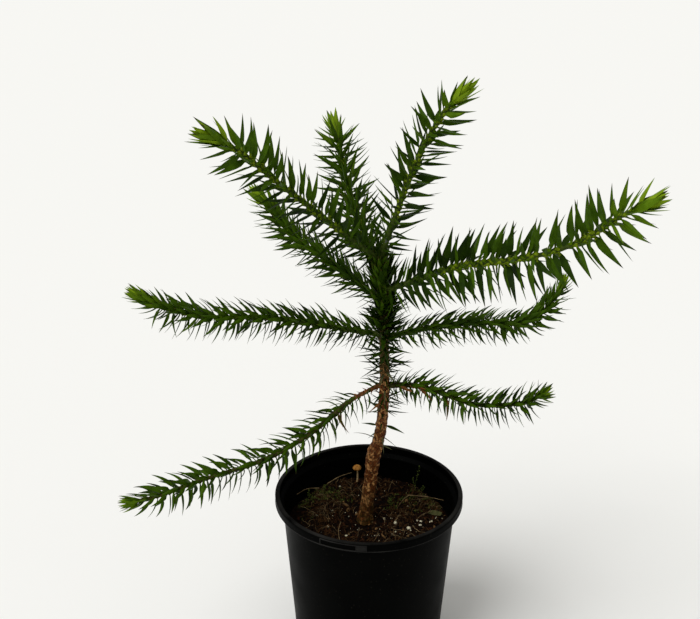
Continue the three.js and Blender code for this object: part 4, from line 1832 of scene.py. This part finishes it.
@dataclass
class Chips(Litter):
    """Chips of bark, dark, red and tan."""

    seed: int = 5
    name: str = "bark_chips"
    count: int = 2200
    sizes: Span = (0.6, 4.4)
    tones: Span = (0.62, 0.93)  # shares of the chips up to which they are dark, and dark or red
    corners: int = 6

    def lay(self) -> None:
        """Strews the chips over the mix."""
        for _ in range(self.count):
            x, y = self.scatter()
            size = lerp(*self.sizes, self.chance.share() ** 3)
            tone = self.chance.share()
            self.draft.add(self.chip(x, y, size), sum(tone >= limit for limit in self.tones))

    def chip(self, x: float, y: float, size: float) -> Form:
        """One flat, ragged chip.

        Args:
            x: Where it lies.
            y: Where it lies.
            size: Half of its length.

        Returns:
            Its points and faces.
        """
        chance, corners = self.chance, self.corners
        slim = chance.between(0.3, 0.8)
        tilt_x, tilt_y = chance.around(0.6), chance.around(0.6)
        turn = chance.angle()
        thick = chance.between(0.15, 0.4) * size
        outline = []
        for k in range(corners):
            u, v = polar(size * chance.between(0.65, 1.0), TURN * k / corners)
            v *= slim
            outline.append((u * math.cos(turn) - v * math.sin(turn), u * math.sin(turn) + v * math.cos(turn)))
        level = self.mix.top(x, y) + 0.3 * size
        low = [(x + u, y + v, level - thick + u * tilt_x + v * tilt_y) for u, v in outline]
        high = [(x + 0.85 * u, y + 0.85 * v, level + u * tilt_x + v * tilt_y) for u, v in outline]
        caps = [tuple(reversed(range(corners))), tuple(range(corners, 2 * corners))]
        return np.array(low + high), caps + skin(1, corners, flip=True)


@dataclass
class Perlite(Litter):
    """White grains of perlite, most of them at the front and to the right."""

    seed: int = 31
    name: str = "perlite_grains"
    large: tuple[Place, ...] = (  # x, y and size
        (29, -2, 2.4), (43, -12, 2.2), (56, -4, 1.7), (17, 4, 1.4), (57, 3, 1.5), (-24, -23, 1.5),
    )
    count: int = 230
    sizes: Span = (0.35, 1.25)
    rows: int = 5

    def lay(self) -> None:
        """Strews the grains over the mix."""
        for x, y, size in self.large:
            self.draft.add(self.grain(x, y, size))
        for _ in range(self.count):
            x, y = self.scatter()
            if self.chance.share() >= (0.5 if y > 10 else 0.6 * smoothstep(-x, 5, 45)):
                self.draft.add(self.grain(x, y, lerp(*self.sizes, self.chance.share() ** 3)))

    def grain(self, x: float, y: float, size: float) -> Form:
        """One uneven rounded grain.

        Args:
            x: Where it lies.
            y: Where it lies.
            size: Its radius.

        Returns:
            Its points and faces.
        """
        chance = self.chance
        angles = [math.pi * i / self.rows for i in range(1, self.rows)]
        profile = [(0.0, -1.0), *((math.sin(angle), -math.cos(angle)) for angle in angles), (0.0, 1.0)]
        points, faces = turned(profile, 8)
        phase = 40 * chance.share()
        bumps = np.array([1 + 0.35 * fractal(point + phase, 0.9, 2) for point in points])
        stretch = np.array([chance.between(0.8, 1.25), chance.between(0.8, 1.1), chance.between(0.7, 0.95)])
        return points * bumps[:, None] * stretch * size + self.on_mix(x, y, 0.3 * size), faces


@dataclass
class Rootlets(Litter):
    """Brown rootlets and a few pale twigs."""

    seed: int = 77
    name: str = "rootlets"
    twigs: tuple[Place, ...] = (  # x, y and heading in degrees
        (28, 12, 10), (-62, 20, 160), (-30, 40, 150), (-72, 8, -70),
        (60, 14, 40), (24, -10, -50), (48, -5, -75),
    )
    laid_twigs: tuple[tuple[Place, Place], ...] = (
        ((45, 50, 152), (83, 22, 163)),
        ((46, 49, 152), (32, 25, 151)),
        ((-46, 71, 154), (-18, 82, 162)),
        ((-55, 60, 155), (-79, 34, 163)),
        ((-30, -2, 151), (-31, -37, 151)),
    )
    # Loose strands: how many, the share of the mix they lie in, their steps, stride, radius and finish.
    loose: tuple[tuple[int, float, int, Span, Span, int], ...] = (
        (64, 0.9, 8, (1.0, 2.6), (0.14, 0.26), 1),
        (760, 0.95, 6, (0.8, 2.4), (0.12, 0.3), 0),
    )
    tangles: tuple[tuple[float, float, float, int], ...] = (  # x, y, half width and strands of each
        (-50, 24, 19, 150), (-40, 62, 18, 110), (36, 16, 15, 80), (62, 58, 18, 120),
        (72, 30, 12, 60), (4, 72, 24, 80), (-48, -10, 13, 50), (30, -30, 22, 60),
    )

    def lay(self) -> None:
        """Lays the twigs and rootlets over the mix."""
        chance = self.chance
        for x, y, heading in self.twigs:
            self.strand((x, y), math.radians(heading), 9, 3.0, chance.between(0.26, 0.4), 1)
        for low, high in self.laid_twigs:
            bow = np.array([chance.around(2), chance.around(2), 2.0])
            middle = (np.array(low) + np.array(high)) / 2 + bow
            self.draft.add(tube(smooth_line((low, middle, high), 8), lambda t, _: 0.5 - 0.25 * t, 6, 1.6), 1)
        for count, spread, steps, strides, radii, finish in self.loose:
            for _ in range(count):
                turn, stride = chance.angle(), chance.between(*strides)
                self.strand(self.scatter(spread), turn, steps, stride, chance.between(*radii), finish)
        for x, y, spread, count in self.tangles:
            for _ in range(count):
                start = (x + chance.around(spread), y + chance.around(spread))
                turn, stride = chance.angle(), chance.between(1.2, 2.6)
                finish = 0 if chance.share() < 0.8 else 1
                self.strand(start, turn, 7, stride, chance.between(0.12, 0.26), finish, 6.0)

    def strand(
        self,
        start: Span,
        heading: float,
        steps: int,
        stride: float,
        radius: float,
        finish: int,
        loft: float = 3.0,
    ) -> None:
        """Lays one thin strand that winds over the mix.

        Args:
            start: Where it starts.
            heading: Where it heads, in radians.
            steps: How many times it turns.
            stride: Millimetres from turn to turn.
            radius: Its radius at its thick end.
            finish: The number of its finish.
            loft: How high its middle may stand over the mix.
        """
        x, y = start
        knots: list[Place] = []
        height = self.chance.between(0.4, loft)
        for k in range(steps):
            if math.hypot(x, y) > self.wall - 2:
                break
            knots.append((x, y, self.mix.top(x, y) + 0.2 + height * math.sin(math.pi * (k + 0.5) / steps)))
            x, y = x + stride * math.cos(heading), y + stride * math.sin(heading)
            heading += self.chance.around(0.5)
        if len(knots) > 2:
            self.draft.add(tube(smooth_line(knots, 2), lambda t, _: radius * (1.1 - 0.7 * t), 5, 1.6), finish)


@dataclass
class Moss(Litter):
    """Moss and small weeds at the back, to the left and to the right, as tufts of tiny leaves."""

    seed: int = 13
    name: str = "moss_and_weeds"
    patches: tuple[tuple[float, float, float, int, float], ...] = (  # x, y, half width, sprigs and height
        (-55, 56, 12, 90, 3.6), (-40, 56, 10, 60, 3.2), (-26, 46, 10, 50, 2.4), (-68, 38, 9, 50, 3.0),
        (60, 56, 13, 90, 3.8), (74, 34, 9, 50, 3.2), (36, 46, 11, 60, 3.2), (48, 30, 11, 40, 2.6),
        (-66, 12, 9, 22, 2.2), (22, 28, 8, 24, 3.0),
    )
    weeds: tuple[Place, ...] = (  # x, y and height
        (54, 66, 29.0), (55, 64, 15.0), (60, 58, 10.0), (-66, 50, 11.0),
        (-50, 62, 8.0), (26, 30, 9.0), (22, 33, 7.0), (31, 26, 6.0),
    )
    pointed: float = 0.34  # width of a sprig's leaves, of their length
    rounded: float = 0.75  # width of a weed's leaves

    def lay(self) -> None:
        """Sets the moss and the weeds."""
        for x, y, spread, count, tall in self.patches:
            for _ in range(count):
                u, v = x + self.chance.around(spread), y + self.chance.around(spread)
                if math.hypot(u, v) <= self.wall - 3:
                    self.sprig(u, v, tall * self.chance.between(0.4, 1.2))
        for x, y, tall in self.weeds:
            self.weed(x, y, tall)

    def sprig(self, x: float, y: float, size: float) -> None:
        """Adds one tiny tuft of three pointed leaves.

        Args:
            x: Where it grows.
            y: Where it grows.
            size: The length of its leaves.
        """
        foot = self.on_mix(x, y, -0.3)
        for _ in range(3):
            heading = self.chance.angle()
            lean = self.chance.between(0.3, 1.6)
            self.leaflet(foot, unit(np.array([*polar(lean, heading), 1.0])), size, self.pointed)

    def weed(self, x: float, y: float, tall: float) -> None:
        """Adds one seedling with pairs of round leaves up a thin stalk.

        Args:
            x: Where it grows.
            y: Where it grows.
            tall: Its height.
        """
        foot = self.on_mix(x, y, -0.5)
        lean = np.array([self.chance.around(0.35), self.chance.around(0.35), 1.0])
        bow = np.array([1.2, 0.0, 0.0])
        line = smooth_line([foot + unit(lean) * tall * s + bow * s * s for s in (0.0, 0.35, 0.7, 1.0)], 4)
        self.draft.add(tube(line, lambda t, _: 0.3 - 0.12 * t, 6, 1.2))
        for share in (0.35, 0.6, 0.8, 1.0):
            heading = self.chance.angle()
            for angle in (heading, heading + math.pi):
                self.leaflet(line.at(share), unit(np.array([*polar(1.0, angle), 0.45])), 2.6, self.rounded)

    def leaflet(self, foot: np.ndarray, along: np.ndarray, size: float, broad: float) -> None:
        """Adds one small leaf of eight faces.

        Args:
            foot: Where it starts.
            along: Where it points.
            size: Its length.
            broad: Its width as a share of its length.
        """
        across = side_of(along) * size * broad / 2
        over = unit(np.cross(along, across)) * size * 0.07
        middle = foot + along * size * 0.5
        around = [middle + across, middle + over, middle - across, middle - over]
        faces: list[Face] = []
        for k in range(4):
            a, b = 1 + k, 1 + (k + 1) % 4
            faces.extend([(0, a, b), (5, b, a)])
        self.draft.add((np.array([foot, *around, foot + along * size]), faces))


@dataclass
class Scrap(Litter):
    """One faded, curled scrap of leaf at the front right."""

    name: str = "leaf_scrap"
    x: float = 73.0
    y: float = 15.0
    heading: float = -24.0  # degrees
    length: float = 15.0
    width: float = 8.0
    thick: float = 0.5
    steps: int = 10

    def lay(self) -> None:
        """Lays the scrap on the mix."""
        steps, side = self.steps, self.steps + 1
        offset = side * side
        turn = math.radians(self.heading)
        level = self.mix.top(self.x, self.y) + 2.0
        low = []
        for i in range(side):
            for k in range(side):
                u = self.length * (i / steps - 0.5)
                v = self.width * (k / steps - 0.5) * (1 - 0.25 * abs(2 * i / steps - 1) ** 3)
                x = self.x + u * math.cos(turn) - v * math.sin(turn)
                y = self.y + u * math.sin(turn) + v * math.cos(turn)
                low.append((x, y, level + 0.05 * v * v + 0.08 * u + 0.5 * fractal((u, v, 3.0), 5.0, 2)))
        high = [(x, y, z + self.thick) for x, y, z in low]
        faces: list[Face] = []
        for a in (i * side + k for i in range(steps) for k in range(steps)):
            faces.append((a, a + 1, a + side + 1, a + side))
            faces.append((offset + a, offset + a + side, offset + a + side + 1, offset + a + 1))
        for i in range(steps):
            front, back = (i, i + 1), (steps * side + i + 1, steps * side + i)
            left, right = ((i + 1) * side, i * side), (i * side + steps, (i + 1) * side + steps)
            faces.extend((b, a, offset + a, offset + b) for a, b in (front, back, left, right))
        self.draft.add((np.array(low + high), faces))


@dataclass
class Toadstool(Litter):
    """One small toadstool behind the trunk, to its left."""

    name: str = "toadstool"
    x: float = -12.0
    y: float = 76.0
    tall: float = 21.0
    cap_radius: float = 5.0
    cap_height: float = 4.0
    lean: float = 0.6

    def lay(self) -> None:
        """Grows the toadstool."""
        x, y, tall = self.x, self.y, self.tall
        foot = self.mix.top(x, y) - 1
        stalk = smooth_line([(x, y, foot), (x + self.lean, y, foot + tall * 0.5), (x, y, foot + tall)], 6)
        self.draft.add(tube(stalk, lambda t, _: 1.0 - 0.2 * t, 14, 1.0), 1)
        angles = np.linspace(0.5 * math.pi, 0.0, 9)[:-1]
        dome = [(self.cap_radius * math.sin(a), self.cap_height * math.cos(a)) for a in angles]
        profile = [(0.0, -0.2), (self.cap_radius * 0.92, -0.5), *dome, (0.0, self.cap_height)]
        points, faces = turned(profile, 28)
        self.draft.add((points + np.array([x, y, foot + tall - 0.6]), faces))


# ---- room, light and camera ----


@dataclass(frozen=True)
class Studio:
    """A pale floor, soft light and the camera."""

    lens: float = 51.43
    sensor: float = 36.0
    camera_place: Place = (-0.0201, -0.9207, 0.7645)
    camera_dip: float = 21.74  # degrees below level
    nearest: float = 0.02
    floor_half: float = 12.0
    floor_shade: Colour = (0.86, 0.86, 0.84)
    floor_roughness: float = 0.9
    sky_shade: Colour = (1.0, 0.99, 0.96)
    sky_strength: float = 0.5
    wall_strength: float = 0.92  # of the plain wall that the camera sees beyond the floor
    sun_strength: float = 2.2
    sun_spread: float = 42.0  # degrees
    sun_from: Place = (-0.55, -0.35, 1.0)

    def build_floor(self) -> None:
        """Lays the floor, which is not part of the plant."""
        mesh = bpy.data.meshes.new("studio_floor")
        half = self.floor_half
        corners = [(-half, -half, 0.0), (half, -half, 0.0), (half, half, 0.0), (-half, half, 0.0)]
        mesh.from_pydata(corners, [], [(0, 1, 2, 3)])
        dressing = Dressing("pale_floor")
        shader = dressing.tree.nodes["Principled BSDF"].inputs
        feeds = {"Base Color": self.floor_shade, "Roughness": self.floor_roughness, "Specular IOR Level": 0.0}
        for label, value in feeds.items():
            dressing.feed(shader[label], value)
        mesh.materials.append(dressing.material)
        made = placed("studio_floor", mesh)
        made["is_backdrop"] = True

    def build_lights(self) -> None:
        """Hangs the wide, soft key light and sets the sky."""
        world = bpy.data.worlds.new("studio_sky")
        world.use_nodes = True
        sketch = Sketch(world.node_tree)
        seen = sketch.node("LightPath", {}).outputs["Is Camera Ray"]
        sky = sketch.node("Background", {"Color": self.sky_shade, "Strength": self.sky_strength})
        wall = sketch.node("Background", {"Color": self.sky_shade, "Strength": self.wall_strength})
        both = sketch.node("MixShader", {0: seen, 1: sky, 2: wall})
        sketch.feed(world.node_tree.nodes["World Output"].inputs["Surface"], both)
        bpy.context.scene.world = world
        data = bpy.data.lights.new("key_light", "SUN")
        data.energy = self.sun_strength
        data.angle = math.radians(self.sun_spread)
        lamp = placed("key_light", data)
        lamp.location = self.sun_from
        lamp.rotation_euler = (-Vector(self.sun_from)).to_track_quat("-Z", "Y").to_euler()

    def build_camera(self) -> None:
        """Stands the camera in front of the plant, looking a little down."""
        scene = bpy.context.scene
        data = bpy.data.cameras.new("camera")
        data.sensor_width = self.sensor
        data.lens = self.lens
        data.clip_start = self.nearest
        camera = placed("camera", data)
        camera.location = self.camera_place
        camera.rotation_euler = (math.radians(90 - self.camera_dip), 0.0, 0.0)
        scene.camera = camera
        scene.view_settings.view_transform = "Standard"


def build_plant(crown: Crown, finishes: Finishes) -> None:
    """Builds the trunk, the shoots and the trunk's own leaves.

    Args:
        crown: The tree's lines.
        finishes: The materials.
    """
    leafing = Leafing(crown, finishes)
    Trunk(crown, finishes).build()
    for number, shape in enumerate(SHOOTS):
        shoot = Shoot(leafing, shape, number)
        shoot.build_stem()
        shoot.build_leaves()
    for number, shape in enumerate(SLEEVES):
        Sleeve(leafing, shape, number).build()


def build_pot(finishes: Finishes) -> None:
    """Builds the pot, the mix and what lies on the mix.

    Args:
        finishes: The materials.
    """
    pot = Pot(finishes)
    pot.build()
    pot.build_label_frame()
    low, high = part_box("potting_mix")
    mix = PottingMix(pot, level=high.z / MM, foot=low.z / MM)
    mix.build()
    Chips(mix).build(*finishes.chips)
    Perlite(mix).build(finishes.perlite)
    Rootlets(mix).build(*finishes.rootlets)
    Moss(mix).build(finishes.moss)
    Scrap(mix).build(finishes.scrap)
    Toadstool(mix).build(*finishes.toadstool)


def main() -> None:
    """Builds the plant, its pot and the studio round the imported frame."""
    logging.basicConfig(level=logging.INFO, format="%(message)s")
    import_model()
    finishes = Finishes()
    crown = Crown(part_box("trunk")[0].z / MM)
    build_pot(finishes)
    build_plant(crown, finishes)
    studio = Studio()
    studio.build_floor()
    studio.build_lights()
    studio.build_camera()


if __name__ == "__main__":
    main()
